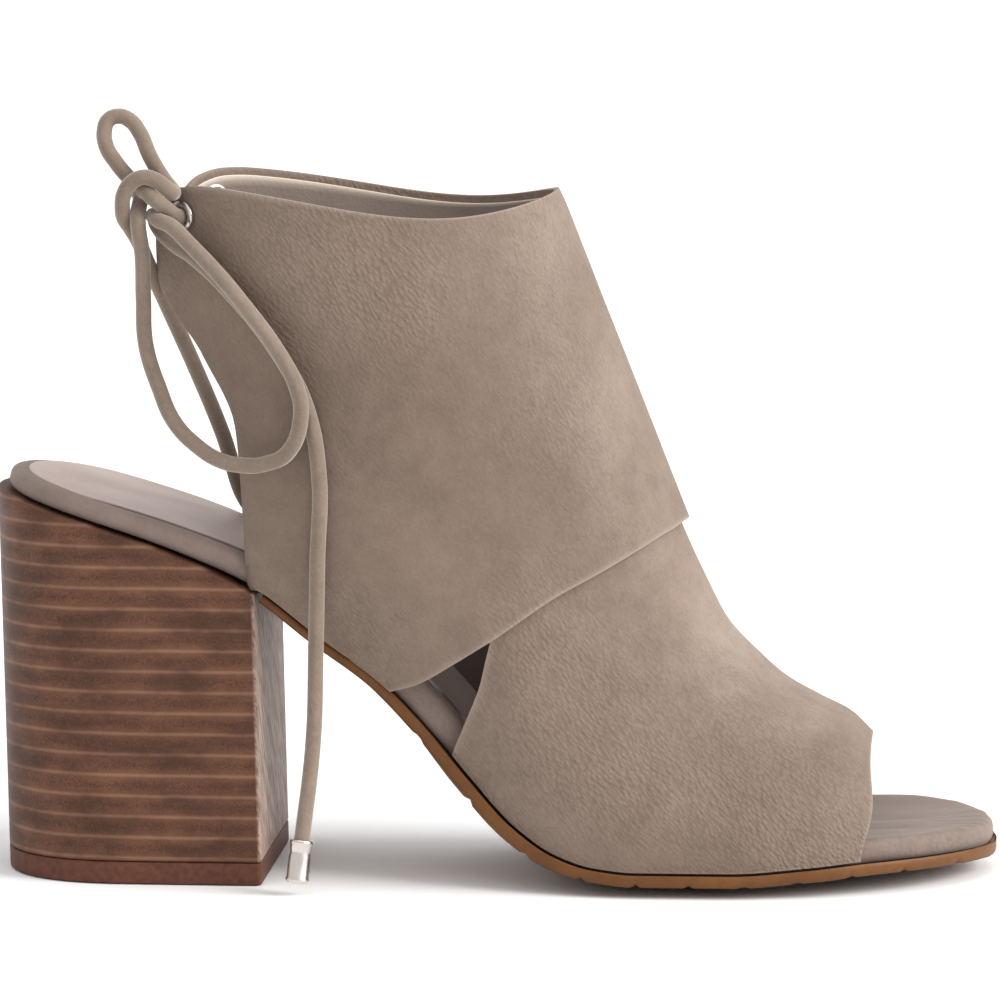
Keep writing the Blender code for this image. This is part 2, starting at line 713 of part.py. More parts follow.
# Evenly spaced points of a smooth curve through a route's own points
def smooth_route(points, step):
    fine = []
    ends = [2 * points[0] - points[1]] + points + [2 * points[-1] - points[-2]]
    for before, start, end, after in zip(ends, ends[1:], ends[2:], ends[3:]):
        for i in range(16):
            t = i / 16
            pull = (end - before) * t + (2 * before - 5 * start + 4 * end - after) * t * t
            pull += (3 * start - before - 3 * end + after) * t ** 3
            fine.append(start + pull * 0.5)
    fine.append(points[-1])
    lengths = [0.0]
    for near, far in zip(fine, fine[1:]):
        lengths.append(lengths[-1] + (far - near).length)
    count = max(2, round(lengths[-1] / step))
    spaced = []
    place = 0
    for i in range(count + 1):
        want = lengths[-1] * i / count
        while place < len(fine) - 2 and lengths[place + 1] < want:
            place += 1
        share = (want - lengths[place]) / (lengths[place + 1] - lengths[place])
        spaced.append(fine[place].lerp(fine[place + 1], share))
    return spaced


def build_cord(name, points, step, material):
    curve = bpy.data.curves.new(name, "CURVE")
    curve.dimensions = "3D"
    curve.bevel_depth = CORD_DIAMETER / 2
    curve.bevel_resolution = 2
    curve.use_fill_caps = True
    line = curve.splines.new("POLY")
    spaced = smooth_route(points, step)
    line.points.add(len(spaced) - 1)
    for point, place in zip(line.points, spaced):
        point.co = (*place, 1.0)
    curve.materials.append(material)
    cord = bpy.data.objects.new(name, curve)
    BOOT.objects.link(cord)


# Metal tip crimped on the end of a tail, in line with the tail's last stretch
def build_tip(name, tail, material):
    end = tail[-1]
    along = (tail[-1] - tail[-2]).normalized()
    mesh = bpy.data.meshes.new(name)
    shape = bmesh.new()
    radius = TIP_DIAMETER / 2
    bmesh.ops.create_cone(
        shape,
        cap_ends=True,
        segments=20,
        radius1=radius,
        radius2=radius,
        depth=TIP_LENGTH,
    )
    shape.to_mesh(mesh)
    shape.free()
    tip = add_object(name, mesh, material)
    turn = Vector((0.0, 0.0, -1.0)).rotation_difference(along).to_matrix().to_4x4()
    tip.matrix_world = Matrix.Translation(end + along * (GAP + TIP_LENGTH / 2)) @ turn
    edge = tip.modifiers.new("edge", "BEVEL")
    edge.width = TIP_DIAMETER * 0.12
    edge.segments = 2
    edge.limit_method = "ANGLE"
    smooth_shade(mesh)


def build_bow(leather, metal):
    mesh = bpy.data.meshes.new("knot")
    shape = bmesh.new()
    bmesh.ops.create_uvsphere(shape, u_segments=16, v_segments=10, radius=0.5)
    bmesh.ops.scale(shape, vec=KNOT_SIZE, verts=shape.verts)
    bmesh.ops.translate(shape, vec=cord_points([KNOT_PLACE])[0], verts=shape.verts)
    shape.to_mesh(mesh)
    shape.free()
    smooth_shade(mesh)
    add_object("knot", mesh, leather)
    frames = {side: eyelet_frame(side) for side in (-1, 1)}
    inside = Vector((0.0, 0.0, -CORD_DIAMETER * 0.4))
    outside = Vector((0.0, 0.0, CORD_DIAMETER * 0.6))
    tie = [frames[-1] @ inside, frames[-1] @ outside]
    build_cord("tie_outer", tie + [knot_face(tie[-1])], CORD_DIAMETER, leather)
    tie = [frames[1] @ inside, frames[1] @ outside] + cord_points(TIE_INNER)
    build_cord("tie_inner", tie + [knot_face(tie[-1])], CORD_DIAMETER * 1.6, leather)
    for name, route, step in (("loop_up", LOOP_UP, 1.3), ("loop_down", LOOP_DOWN, 2.0)):
        loop = cord_points(route)
        loop = [knot_face(loop[0])] + loop + [knot_face(loop[-1])]
        build_cord(name, loop, CORD_DIAMETER * step, leather)
    for name, route in (("outer", TAIL_OUTER), ("inner", TAIL_INNER)):
        tail = cord_points(route)
        tail = [knot_face(tail[0])] + tail
        build_cord("tail_" + name, tail, CORD_DIAMETER * 2.0, leather)
        build_tip("tip_" + name, tail, metal)


def main():
    for old in list(bpy.data.objects):
        bpy.data.objects.remove(old, do_unlink=True)
    scene = bpy.context.scene
    scene.collection.children.link(BOOT)
    scene.collection.children.link(CUTTERS)
    taupe = new_material("taupe_nubuck", (0.254, 0.197, 0.159), 0.85)
    suede = new_material("taupe_suede", (0.30, 0.24, 0.20), 0.9)
    tan = new_material("tan_sole", (0.205, 0.090, 0.040), 0.5)
    stack = new_material("stacked_leather", (0.16, 0.075, 0.053), 0.55)
    lift = new_material("dark_lift", (0.13, 0.05, 0.035), 0.6)
    metal = new_material("nickel", (0.66, 0.62, 0.60), 0.25, 1.0)
    build_outsole(tan)
    build_insole(suede)
    build_heel(stack)
    build_top_lift(lift)
    build_upper(taupe)
    build_eyelet("eyelet_outer", -1, metal)
    build_eyelet("eyelet_inner", 1, metal)
    build_bow(taupe, metal)


main()
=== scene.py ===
# Peep toe ankle boot, the right shoe, standing on its sole.
# X runs from the heel to the toe, Y to the inner side of the foot and Z up, in metres.
# The origin lies on the floor, at the middle of the heel's tread.

import bpy
import numpy as np
from collections import namedtuple
from math import cos, pi, radians, sin
from mathutils import Matrix, Vector


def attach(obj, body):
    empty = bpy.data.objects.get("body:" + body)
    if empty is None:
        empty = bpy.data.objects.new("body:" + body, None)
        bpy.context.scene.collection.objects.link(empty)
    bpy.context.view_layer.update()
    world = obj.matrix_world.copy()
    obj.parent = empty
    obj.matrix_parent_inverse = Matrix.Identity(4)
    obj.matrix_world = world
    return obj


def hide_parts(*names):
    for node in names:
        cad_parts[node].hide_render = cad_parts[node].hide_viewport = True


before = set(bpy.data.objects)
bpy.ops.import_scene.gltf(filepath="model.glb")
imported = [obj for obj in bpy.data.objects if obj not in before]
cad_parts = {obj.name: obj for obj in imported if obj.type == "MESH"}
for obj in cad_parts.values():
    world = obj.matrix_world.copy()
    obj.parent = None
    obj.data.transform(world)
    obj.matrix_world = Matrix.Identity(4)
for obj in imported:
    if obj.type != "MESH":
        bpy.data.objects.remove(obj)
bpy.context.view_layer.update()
bpy.ops.object.select_all(action="DESELECT")


# Camera, floor and light
# A long lens from the outer side, a little towards the toe, as the photograph was taken.
# The floor is a wide sheet of pale paper under soft studio lamps.
AIM = Vector((0.0812, 0.0, 0.0835))
STAND_BACK = 1.5
camera_data = bpy.data.cameras.new("camera")
camera_data.lens = 240
camera_data.sensor_width = 36
camera_data.clip_start = 0.05
camera_data.clip_end = 50
camera = bpy.data.objects.new("camera", camera_data)
turn, rise = radians(4.4), radians(7.2)
away = Vector((sin(turn) * cos(rise), -cos(turn) * cos(rise), sin(rise)))
camera.location = AIM + away * STAND_BACK
camera.rotation_euler = (-away).to_track_quat("-Z", "Y").to_euler()
bpy.context.scene.collection.objects.link(camera)
bpy.context.scene.camera = camera
bpy.context.scene.view_settings.view_transform = "Standard"

bpy.ops.mesh.primitive_plane_add(size=40, location=(0, 0, -0.0002))
floor = bpy.context.object
floor.name = "paper_floor"
paper = bpy.data.materials.new("studio_paper")
paper.use_nodes = True
paper.node_tree.nodes["Principled BSDF"].inputs["Base Color"].default_value = (0.95, 0.95, 0.95, 1)
paper.node_tree.nodes["Principled BSDF"].inputs["Roughness"].default_value = 0.9
floor.data.materials.append(paper)

world = bpy.data.worlds.new("studio")
bpy.context.scene.world = world
world.use_nodes = True
world.node_tree.nodes["Background"].inputs["Color"].default_value = (1, 1, 1, 1)
world.node_tree.nodes["Background"].inputs["Strength"].default_value = 0.82


def soft_lamp(name, direction, power, spread_angle):
    bpy.ops.object.light_add(type="SUN", location=Vector(direction) * 2)
    light = bpy.context.object
    light.name = name
    light.data.energy = power
    light.data.angle = radians(spread_angle)
    light.rotation_euler = (-Vector(direction)).to_track_quat("-Z", "Y").to_euler()


soft_lamp("toe_lamp", (0.92, -0.27, 0.55), 3.2, 36)
soft_lamp("top_lamp", (0.10, -0.25, 1.0), 0.45, 60)


# Leather effects that several pieces share
# Napped leather is mottled in soft patches, has a fine nap and, in places, short wrinkles.
# The group gives these as masks and as a height; each leather mixes its own colours.
def shader_group(name, inputs, outputs):
    group = bpy.data.node_groups.new(name, "ShaderNodeTree")
    for label, value in inputs:
        socket = group.interface.new_socket(label, in_out="INPUT", socket_type="NodeSocketFloat")
        socket.default_value = value
    for label in outputs:
        group.interface.new_socket(label, in_out="OUTPUT", socket_type="NodeSocketFloat")
    return group


def add_node(tree, kind, links=(), **values):
    node = tree.nodes.new("ShaderNode" + kind)
    for key, value in values.items():
        if hasattr(node, key):
            setattr(node, key, value)
        else:
            node.inputs[key.replace("_", " ").title()].default_value = value
    for socket, source in links:
        tree.links.new(source, node.inputs[socket])
    return node


def blend_colours(tree, share, first, second, blend="MIX"):
    mix = tree.nodes.new("ShaderNodeMix")
    mix.data_type = "RGBA"
    mix.blend_type = blend
    for socket, value in (("Factor_Float", share), ("A_Color", first), ("B_Color", second)):
        port = next(p for p in mix.inputs if p.identifier == socket)
        if isinstance(value, bpy.types.NodeSocket):
            tree.links.new(value, port)
        elif socket == "Factor_Float":
            port.default_value = value
        else:
            port.default_value = (*value, 1.0)
    return next(p for p in mix.outputs if p.identifier == "Result_Color")


def maths(tree, operation, *values):
    node = tree.nodes.new("ShaderNodeMath")
    node.operation = operation
    for port, value in zip(node.inputs, values):
        if isinstance(value, bpy.types.NodeSocket):
            tree.links.new(value, port)
        else:
            port.default_value = value
    return node.outputs[0]


def spread(tree, value, low, high, new_low=0.0, new_high=1.0):
    node = tree.nodes.new("ShaderNodeMapRange")
    node.clamp = True
    tree.links.new(value, node.inputs["Value"])
    for label, number in (("From Min", low), ("From Max", high), ("To Min", new_low), ("To Max", new_high)):
        node.inputs[label].default_value = number
    return node.outputs["Result"]


nap_group = shader_group(
    "leather_nap",
    (("Wrinkle", 0.5), ("Nap", 1.0), ("Zone Shift", 0.0)),
    ("Patches", "Mottle", "Flecks", "Wrinkles", "Height"),
)
tree = nap_group
entry = tree.nodes.new("NodeGroupInput")
leave = tree.nodes.new("NodeGroupOutput")
place = tree.nodes.new("ShaderNodeTexCoord").outputs["Object"]
patches = add_node(tree, "TexNoise", [("Vector", place)], scale=26.0, detail=3.0, roughness=0.5)
mottle = add_node(tree, "TexNoise", [("Vector", place)], scale=210.0, detail=4.0, roughness=0.62)
flecks = add_node(tree, "TexNoise", [("Vector", place)], scale=1500.0, detail=3.0, roughness=0.7)
# Short wrinkles lie across the stretch of the leather, down towards the toe
lean = tree.nodes.new("ShaderNodeMapping")
lean.inputs["Rotation"].default_value = (0.0, radians(-48), 0.0)
tree.links.new(place, lean.inputs["Vector"])
longer = tree.nodes.new("ShaderNodeMapping")
longer.inputs["Scale"].default_value = (0.50, 0.9, 1.0)
tree.links.new(lean.outputs["Vector"], longer.inputs["Vector"])
wobble = add_node(tree, "TexNoise", [("Vector", place)], scale=95.0, detail=2.0)
push = tree.nodes.new("ShaderNodeVectorMath")
push.operation = "SCALE"
tree.links.new(wobble.outputs["Color"], push.inputs[0])
push.inputs["Scale"].default_value = 0.0016
bent = tree.nodes.new("ShaderNodeVectorMath")
bent.operation = "ADD"
tree.links.new(longer.outputs["Vector"], bent.inputs[0])
tree.links.new(push.outputs["Vector"], bent.inputs[1])
cells = add_node(tree, "TexVoronoi", [("Vector", bent.outputs["Vector"])], scale=1400.0)
cells.feature = "SMOOTH_F1"
cells.inputs["Smoothness"].default_value = 0.6
zone = add_node(tree, "TexNoise", [("Vector", place)], scale=17.0, detail=1.0)
zone_value = maths(tree, "ADD", zone.outputs["Fac"], entry.outputs["Zone Shift"])
zone_mask = spread(tree, zone_value, 0.38, 0.62, 0.12, 1.0)
dome = spread(tree, cells.outputs["Distance"], 0.05, 0.75, 1.0, 0.0)
wrinkles = maths(tree, "MULTIPLY", dome, zone_mask)
nap_height = maths(tree, "MULTIPLY", flecks.outputs["Fac"], entry.outputs["Nap"])
wrinkle_height = maths(tree, "MULTIPLY", wrinkles, entry.outputs["Wrinkle"])
rough_height = maths(tree, "MULTIPLY", mottle.outputs["Fac"], 0.5)
height = maths(tree, "ADD", maths(tree, "ADD", nap_height, wrinkle_height), rough_height)
for label, source in (
    ("Patches", patches.outputs["Fac"]),
    ("Mottle", mottle.outputs["Fac"]),
    ("Flecks", flecks.outputs["Fac"]),
    ("Wrinkles", wrinkles),
    ("Height", height),
):
    tree.links.new(source, leave.inputs[label])


# A napped leather with its own colours. The piece's attribute for rubs and painted light lifts
# the colour where it is rubbed pale and where a highlight is painted, and darkens it with painted
# shade where it is negative; its "edge" attribute marks the cut or folded edges.
def napped_leather(name, dark, base, pale, edge, wrinkle, depth=0.00022, shift=0.0, sheen=0.12):
    material = bpy.data.materials.new(name)
    material.use_nodes = True
    tree = material.node_tree
    shader = tree.nodes["Principled BSDF"]
    group = tree.nodes.new("ShaderNodeGroup")
    group.node_tree = nap_group
    group.inputs["Wrinkle"].default_value = wrinkle
    group.inputs["Nap"].default_value = 0.35
    group.inputs["Zone Shift"].default_value = shift
    rub_and_painted_light = tree.nodes.new("ShaderNodeAttribute")
    rub_and_painted_light.attribute_name = "rub_and_painted_light"
    border = tree.nodes.new("ShaderNodeAttribute")
    border.attribute_name = "edge"
    patch_share = spread(tree, group.outputs["Patches"], 0.32, 0.68)
    mottle_share = spread(tree, group.outputs["Mottle"], 0.3, 0.72)
    fleck_share = spread(tree, group.outputs["Flecks"], 0.3, 0.7)
    tone = maths(tree, "ADD", maths(tree, "MULTIPLY", patch_share, 0.42), maths(tree, "MULTIPLY", mottle_share, 0.3))
    tone = maths(tree, "ADD", tone, maths(tree, "MULTIPLY", fleck_share, 0.28))
    colour = blend_colours(tree, tone, dark, base)
    lift = maths(tree, "MULTIPLY", rub_and_painted_light.outputs["Fac"], spread(tree, tone, 0.2, 0.8, 0.35, 1.0))
    lift = maths(tree, "ADD", lift, maths(tree, "MULTIPLY", group.outputs["Wrinkles"], 0.16))
    colour = blend_colours(tree, lift, colour, pale)
    # Negative values of the attribute darken the colour: painted shade
    shade = spread(tree, rub_and_painted_light.outputs["Fac"], -1.0, 0.0, 1.0, 0.0)
    colour = blend_colours(tree, shade, colour, tuple(0.5 * part for part in dark))
    colour = blend_colours(tree, maths(tree, "MULTIPLY", border.outputs["Fac"], 0.75), colour, edge)
    tree.links.new(colour, shader.inputs["Base Color"])
    rough = spread(tree, tone, 0.1, 0.9, 0.97, 0.86)
    tree.links.new(rough, shader.inputs["Roughness"])
    bump = tree.nodes.new("ShaderNodeBump")
    bump.inputs["Strength"].default_value = 1.0
    bump.inputs["Distance"].default_value = depth
    tree.links.new(group.outputs["Height"], bump.inputs["Height"])
    tree.links.new(bump.outputs["Normal"], shader.inputs["Normal"])
    shader.inputs["Specular IOR Level"].default_value = 0.18
    shader.inputs["Sheen Weight"].default_value = sheen
    shader.inputs["Sheen Roughness"].default_value = 0.45
    shader.inputs["Sheen Tint"].default_value = (0.9, 0.84, 0.78, 1.0)
    return material


upper_leather = napped_leather(
    "taupe_nubuck",
    dark=(0.150, 0.108, 0.083),
    base=(0.245, 0.183, 0.144),
    pale=(0.420, 0.345, 0.285),
    edge=(0.340, 0.270, 0.222),
    wrinkle=1.0,
)


# Sole shape
# Outsole, heel and insole share one bottom line: the seat slopes down to a flat tread under
# the ball of the foot and springs up a little at the toe.
SHOE_LENGTH = 0.2254
SEAT_HEIGHT = 0.0877
BALL_WIDTH = 0.0785
SEAT_WIDTH = 0.0580
HEEL_LENGTH = 0.0602
HEEL_RAKE = 0.0020
BREAST_CORNER = 0.0012
TOP_LIFT = 0.0050
TOE_SPRING = 0.0034
EDGE_RISE = 0.0026
OUTSOLE_WALL = 0.0026
PAD_HEIGHT = 0.0055
GAP = 0.0003
SEAT_BACK = -HEEL_LENGTH / 2 - HEEL_RAKE
TOE_TIP = SEAT_BACK + SHOE_LENGTH
TREAD_TOP = OUTSOLE_WALL + GAP
SEAT_SPAN = 0.135 * SHOE_LENGTH
TOE_SPAN = 0.192 * SHOE_LENGTH
SEAT_START = SEAT_BACK + SEAT_SPAN
TOE_START = TOE_TIP - TOE_SPAN
RISE_START = 0.45
SoleRow = namedtuple("SoleRow", "along arch spring outer inner rise wall pad")
SOLE_ROWS = (
    SoleRow(0.000, 1.000, 0.00, 0.357, 0.357, 0.00, 0.60, 0.80),
    SoleRow(0.098, 0.930, 0.00, 0.368, 0.368, 0.00, 0.60, 0.80),
    SoleRow(0.196, 0.842, 0.00, 0.368, 0.363, 0.00, 0.60, 0.90),
    SoleRow(0.267, 0.754, 0.00, 0.350, 0.338, 0.00, 0.70, 1.00),
    SoleRow(0.329, 0.628, 0.00, 0.325, 0.306, 0.00, 0.80, 1.15),
    SoleRow(0.391, 0.507, 0.00, 0.312, 0.287, 0.10, 0.95, 1.27),
    SoleRow(0.435, 0.388, 0.00, 0.325, 0.293, 0.25, 1.35, 1.27),
    SoleRow(0.480, 0.247, 0.00, 0.357, 0.318, 0.40, 1.65, 1.20),
    SoleRow(0.524, 0.123, 0.00, 0.401, 0.363, 0.55, 1.60, 1.10),
    SoleRow(0.568, 0.043, 0.00, 0.446, 0.408, 0.80, 1.35, 1.00),
    SoleRow(0.604, 0.0125, 0.00, 0.474, 0.443, 0.90, 1.10, 1.00),
    SoleRow(0.648, 0.000, 0.00, 0.492, 0.474, 1.00, 1.00, 1.00),
    SoleRow(0.740, 0.000, 0.00, 0.488, 0.505, 1.00, 1.00, 1.00),
    SoleRow(0.817, 0.000, 0.34, 0.452, 0.510, 0.95, 1.00, 1.00),
    SoleRow(0.879, 0.000, 0.72, 0.395, 0.497, 0.80, 1.00, 1.00),
    SoleRow(0.941, 0.000, 0.87, 0.331, 0.484, 0.65, 1.00, 1.00),
    SoleRow(1.000, 0.000, 1.00, 0.268, 0.471, 0.50, 1.00, 1.00),
)


# Smooth curve through a table's column, flat where two rows are equal
def follow(rows, column, at):
    places = np.array([row[0] for row in rows], float)
    values = np.array([getattr(row, column) for row in rows], float)
    spans = np.diff(places)
    slopes = np.diff(values) / spans
    before, after = slopes[:-1], slopes[1:]
    total = before + after
    inner = np.where(before * after > 0, 2 * before * after / np.where(total == 0, 1.0, total), 0.0)
    tangents = np.concatenate(([slopes[0]], inner, [slopes[-1]]))
    at = np.clip(np.asarray(at, float), places[0], places[-1])
    i = np.clip(np.searchsorted(places, at, side="right") - 1, 0, len(spans) - 1)
    t = (at - places[i]) / spans[i]
    swing = t * t * (3 - 2 * t)
    early = t * (1 - t) ** 2 * spans[i] * tangents[i]
    late = t * t * (1 - t) * spans[i] * tangents[i + 1]
    return values[i] * (1 - swing) + values[i + 1] * swing + early - late


def sole_value(column, x):
    return follow(SOLE_ROWS, column, (x - SEAT_BACK) / SHOE_LENGTH)


def feather_height(x):
    return TREAD_TOP + sole_value("arch", x) * (SEAT_HEIGHT - TREAD_TOP) + sole_value("spring", x) * TOE_SPRING


# Outer and inner edge of the sole, both ends rounded off
def sole_edges(x, back_setback=0.0, toe_setback=0.0):
    outer = sole_value("outer", x) * BALL_WIDTH
    inner = sole_value("inner", x) * BALL_WIDTH
    seat = np.clip((SEAT_START - x) / (SEAT_SPAN - back_setback), 0.0, 1.0)
    toe = np.clip((x - TOE_START) / (TOE_SPAN - toe_setback), 0.0, 1.0)
    part = (1 - seat ** 2.3) ** (1 / 2.3) * (1 - toe ** 2.4) ** (1 / 2.4)
    middle = (inner - outer) / 2
    half = (inner + outer) / 2 * part
    return middle - half, middle + half


# Points of the sole: y across, a share of the way out to the edge, a height over the insole's
# underside
def sole_points(x, y, share, height):
    step = 0.0004
    slope = feather_height(x + step) - feather_height(x - step)
    length = np.sqrt(slope ** 2 + (2 * step) ** 2)
    side = np.clip((np.abs(share) - RISE_START) / (1 - RISE_START), 0.0, None)
    rise = sole_value("rise", x) * EDGE_RISE * side ** 2
    z = feather_height(x) + rise + 2 * step / length * height
    return np.stack((x - slope / length * height, y + 0 * z, z), axis=-1)


# A flat piece is a grid wrapped round its outline: u runs round, v from the middle of the
# top over the edge to the middle of the underside. The place function puts every point.
def wrapped_piece(name, round_steps, rings, place_points, material, closed=True):
    bpy.ops.mesh.primitive_grid_add(x_subdivisions=round_steps, y_subdivisions=rings - 1, size=1)
    piece = bpy.context.object
    piece.name = name
    mesh = piece.data
    flat = np.empty(len(mesh.vertices) * 3)
    mesh.vertices.foreach_get("co", flat)
    flat = flat.reshape(-1, 3)
    u = np.rint((flat[:, 0] + 0.5) * round_steps).astype(int)
    if closed:
        u %= round_steps
    v = np.rint((flat[:, 1] + 0.5) * (rings - 1)).astype(int)
    mesh.vertices.foreach_set("co", place_points(u, v).astype(float).ravel())
    mesh.update()
    bpy.ops.object.mode_set(mode="EDIT")
    bpy.ops.mesh.select_all(action="SELECT")
    bpy.ops.mesh.remove_doubles(threshold=0.000002)
    bpy.ops.mesh.dissolve_degenerate(threshold=0.000001)
    if not closed:
        bpy.ops.mesh.select_all(action="DESELECT")
        bpy.ops.mesh.select_non_manifold()
        bpy.ops.mesh.edge_face_add()
        bpy.ops.mesh.select_all(action="SELECT")
    bpy.ops.mesh.normals_make_consistent(inside=False)
    bpy.ops.object.mode_set(mode="OBJECT")
    bpy.ops.object.shade_smooth_by_angle(angle=radians(40))
    mesh.materials.append(material)
    piece.select_set(False)
    return piece


# Round cord
# Two ends of one round taupe leather cord come out of the eyelets at the back and are tied in
# a bow: a loop stands up, a loop hangs down, and both ends hang free with a metal tip.
CORD = 0.0035
Stop = namedtuple("Stop", "x y z")
OUTER_CORD = (
    Stop(8.9, -30.8, 152.1),
    Stop(6.8, -31.4, 153.8),
    Stop(5.2, -29.7, 155.0),
    Stop(4.2, -27.6, 154.1),
    Stop(3.6, -27.7, 151.8),
    Stop(3.5, -29.7, 149.7),
    Stop(3.7, -30.7, 147.1),
    Stop(4.4, -29.9, 141.2),
    Stop(4.5, -29.0, 131.0),
    Stop(5.0, -29.2, 121.0),
    Stop(8.0, -30.0, 111.5),
    Stop(11.5, -31.0, 104.0),
    Stop(16.5, -32.0, 99.0),
    Stop(21.5, -33.0, 96.0),
    Stop(26.5, -34.2, 95.0),
    Stop(32.0, -35.8, 95.5),
    Stop(37.5, -37.8, 98.5),
    Stop(40.5, -39.4, 107.5),
    Stop(39.5, -39.5, 113.0),
    Stop(36.5, -39.2, 119.0),
    Stop(26.0, -37.8, 133.0),
    Stop(20.5, -36.3, 139.0),
    Stop(15.4, -34.6, 143.9),
    Stop(11.1, -32.9, 147.7),
    Stop(8.6, -31.6, 148.6),
    Stop(6.9, -29.1, 149.4),
    Stop(6.7, -26.5, 149.0),
    Stop(7.5, -26.0, 146.8),
    Stop(11.3, -28.8, 143.4),
    Stop(16.0, -31.3, 140.6),
    Stop(25.0, -34.1, 132.5),
    Stop(36.0, -35.5, 118.5),
    Stop(41.0, -35.8, 109.0),
    Stop(44.0, -35.9, 93.5),
    Stop(43.5, -34.8, 74.0),
    Stop(43.0, -34.0, 54.0),
    Stop(42.5, -35.3, 34.0),
    Stop(40.0, -38.0, 10.6),
)
INNER_CORD = (
    Stop(9.2, 29.8, 149.3),
    Stop(5.6, 29.4, 149.6),
    Stop(3.4, 25.0, 150.1),
    Stop(2.6, 12.0, 151.0),
    Stop(1.6, -2.0, 151.5),
    Stop(2.0, -12.4, 151.9),
    Stop(2.5, -18.3, 153.0),
    Stop(1.5, -22.9, 156.3),
    Stop(-1.8, -24.9, 160.8),
    Stop(-4.2, -24.0, 164.5),
    Stop(-4.7, -23.0, 168.0),
    Stop(-3.9, -22.5, 170.1),
    Stop(-1.8, -22.2, 171.0),
    Stop(0.8, -22.5, 170.2),
    Stop(3.2, -23.5, 167.5),
    Stop(5.7, -25.3, 162.4),
    Stop(8.8, -25.6, 157.3),
    Stop(10.6, -26.2, 155.2),
    Stop(11.1, -28.3, 154.6),
    Stop(9.8, -30.3, 155.9),
    Stop(7.6, -31.1, 157.6),
    Stop(4.8, -31.3, 158.2),
    Stop(2.2, -31.1, 156.9),
    Stop(0.6, -30.8, 154.5),
    Stop(0.1, -30.1, 151.7),
    Stop(0.3, -28.8, 149.0),
    Stop(1.3, -27.0, 146.9),
    Stop(2.8, -22.7, 143.0),
    Stop(4.2, -19.3, 138.3),
    Stop(6.5, -16.0, 132.0),
    Stop(13.5, -7.0, 113.0),
    Stop(18.0, 3.0, 98.0),
    Stop(21.5, 18.5, 80.5),
    Stop(23.0, 25.5, 78.0),
    Stop(24.0, 30.8, 74.8),
    Stop(24.5, 33.4, 69.0),
    Stop(25.3, 33.4, 46.0),
    Stop(26.0, 33.0, 12.0),
)



# Outsole
# Thin tan leather board from the heel's breast to the toe. Its edge is trimmed square and
# rolled smooth under the waist; the tread has cut grooves.
GROOVE_FROM_TIP = 0.0087
GROOVE_PITCH = 0.01175
SPINE_INSET = 0.026
OUTSOLE_START = HEEL_LENGTH / 2 - HEEL_RAKE + GAP + OUTSOLE_WALL * 0.8


# Outline of the sole in plan: down the outer side, round the toe, back along the inner side
def outline_places(start, end, steps):
    share = (1 - np.cos(np.linspace(0, pi, steps + 1))) / 2
    return start + (end - start) * share


outsole_x = outline_places(OUTSOLE_START, TOE_TIP, 240)
outer_edge, inner_edge = sole_edges(outsole_x)
breast_y = np.linspace(inner_edge[0], outer_edge[0], 32)[1:-1]
outline_x = np.concatenate((outsole_x, outsole_x[-2::-1], np.full(30, OUTSOLE_START)))
outline_y = np.concatenate((outer_edge, inner_edge[-2::-1], breast_y))
EDGE_PROFILE = ((0.0008, 0.0), (0.0003, 0.0), (0.0001, 0.10), (0.0, 0.30), (0.0, 0.62), (0.0002, 0.82), (0.0006, 0.95))
EDGE_PROFILE += ((0.0012, 1.0),)
FACE_SHARES = (0.0, 0.2, 0.4, 0.55, 0.68, 0.78, 0.86, 0.92, 0.96)


def outsole_points(u, v):
    px, py = outline_x[u], outline_y[u]
    outer, inner = sole_edges(np.clip(px, OUTSOLE_START, TOE_TIP - 0.0001))
    cx = np.clip(px, OUTSOLE_START + 0.012, TOE_TIP - SPINE_INSET)
    low, high = sole_edges(cx)
    cy = (low + high) / 2
    reach = np.hypot(px - cx, py - cy)
    faces = len(FACE_SHARES)
    edge = np.clip(v - faces, 0, len(EDGE_PROFILE) - 1)
    inset = np.array([row[0] for row in EDGE_PROFILE])[edge]
    depth = np.array([row[1] for row in EDGE_PROFILE])[edge]
    under = v >= faces + len(EDGE_PROFILE)
    top_share = np.array(FACE_SHARES)[np.clip(v, 0, faces - 1)]
    low_share = np.array(FACE_SHARES[::-1])[np.clip(v - faces - len(EDGE_PROFILE), 0, faces - 1)]
    out = np.where(v < faces, top_share, np.where(under, low_share, 1 - inset / reach))
    x = cx + (px - cx) * out
    y = cy + (py - cy) * out
    low, high = sole_edges(x)
    share = (y - (low + high) / 2) / np.maximum((high - low) / 2, 0.001)
    side = np.clip((np.abs(share) - RISE_START) / (1 - RISE_START), 0.0, 1.0)
    middle_wall = sole_value("wall", x) * OUTSOLE_WALL
    wall = middle_wall - (middle_wall - np.minimum(middle_wall, OUTSOLE_WALL)) * side ** 2
    wall = wall * np.where(v < faces, 0.0, np.where(under, 1.0, depth))
    away = np.abs((TOE_TIP - GROOVE_FROM_TIP - x + GROOVE_PITCH / 2) % GROOVE_PITCH - GROOVE_PITCH / 2)
    tread = (x > 0.062) & (x < TOE_TIP - 0.004) & (wall > 0.4 * OUTSOLE_WALL)
    wall -= np.where(tread, np.clip(1 - away / 0.0008, 0, 1) * 0.0007, 0.0)
    return sole_points(x, y, np.clip(share, -1, 1), -GAP - wall)


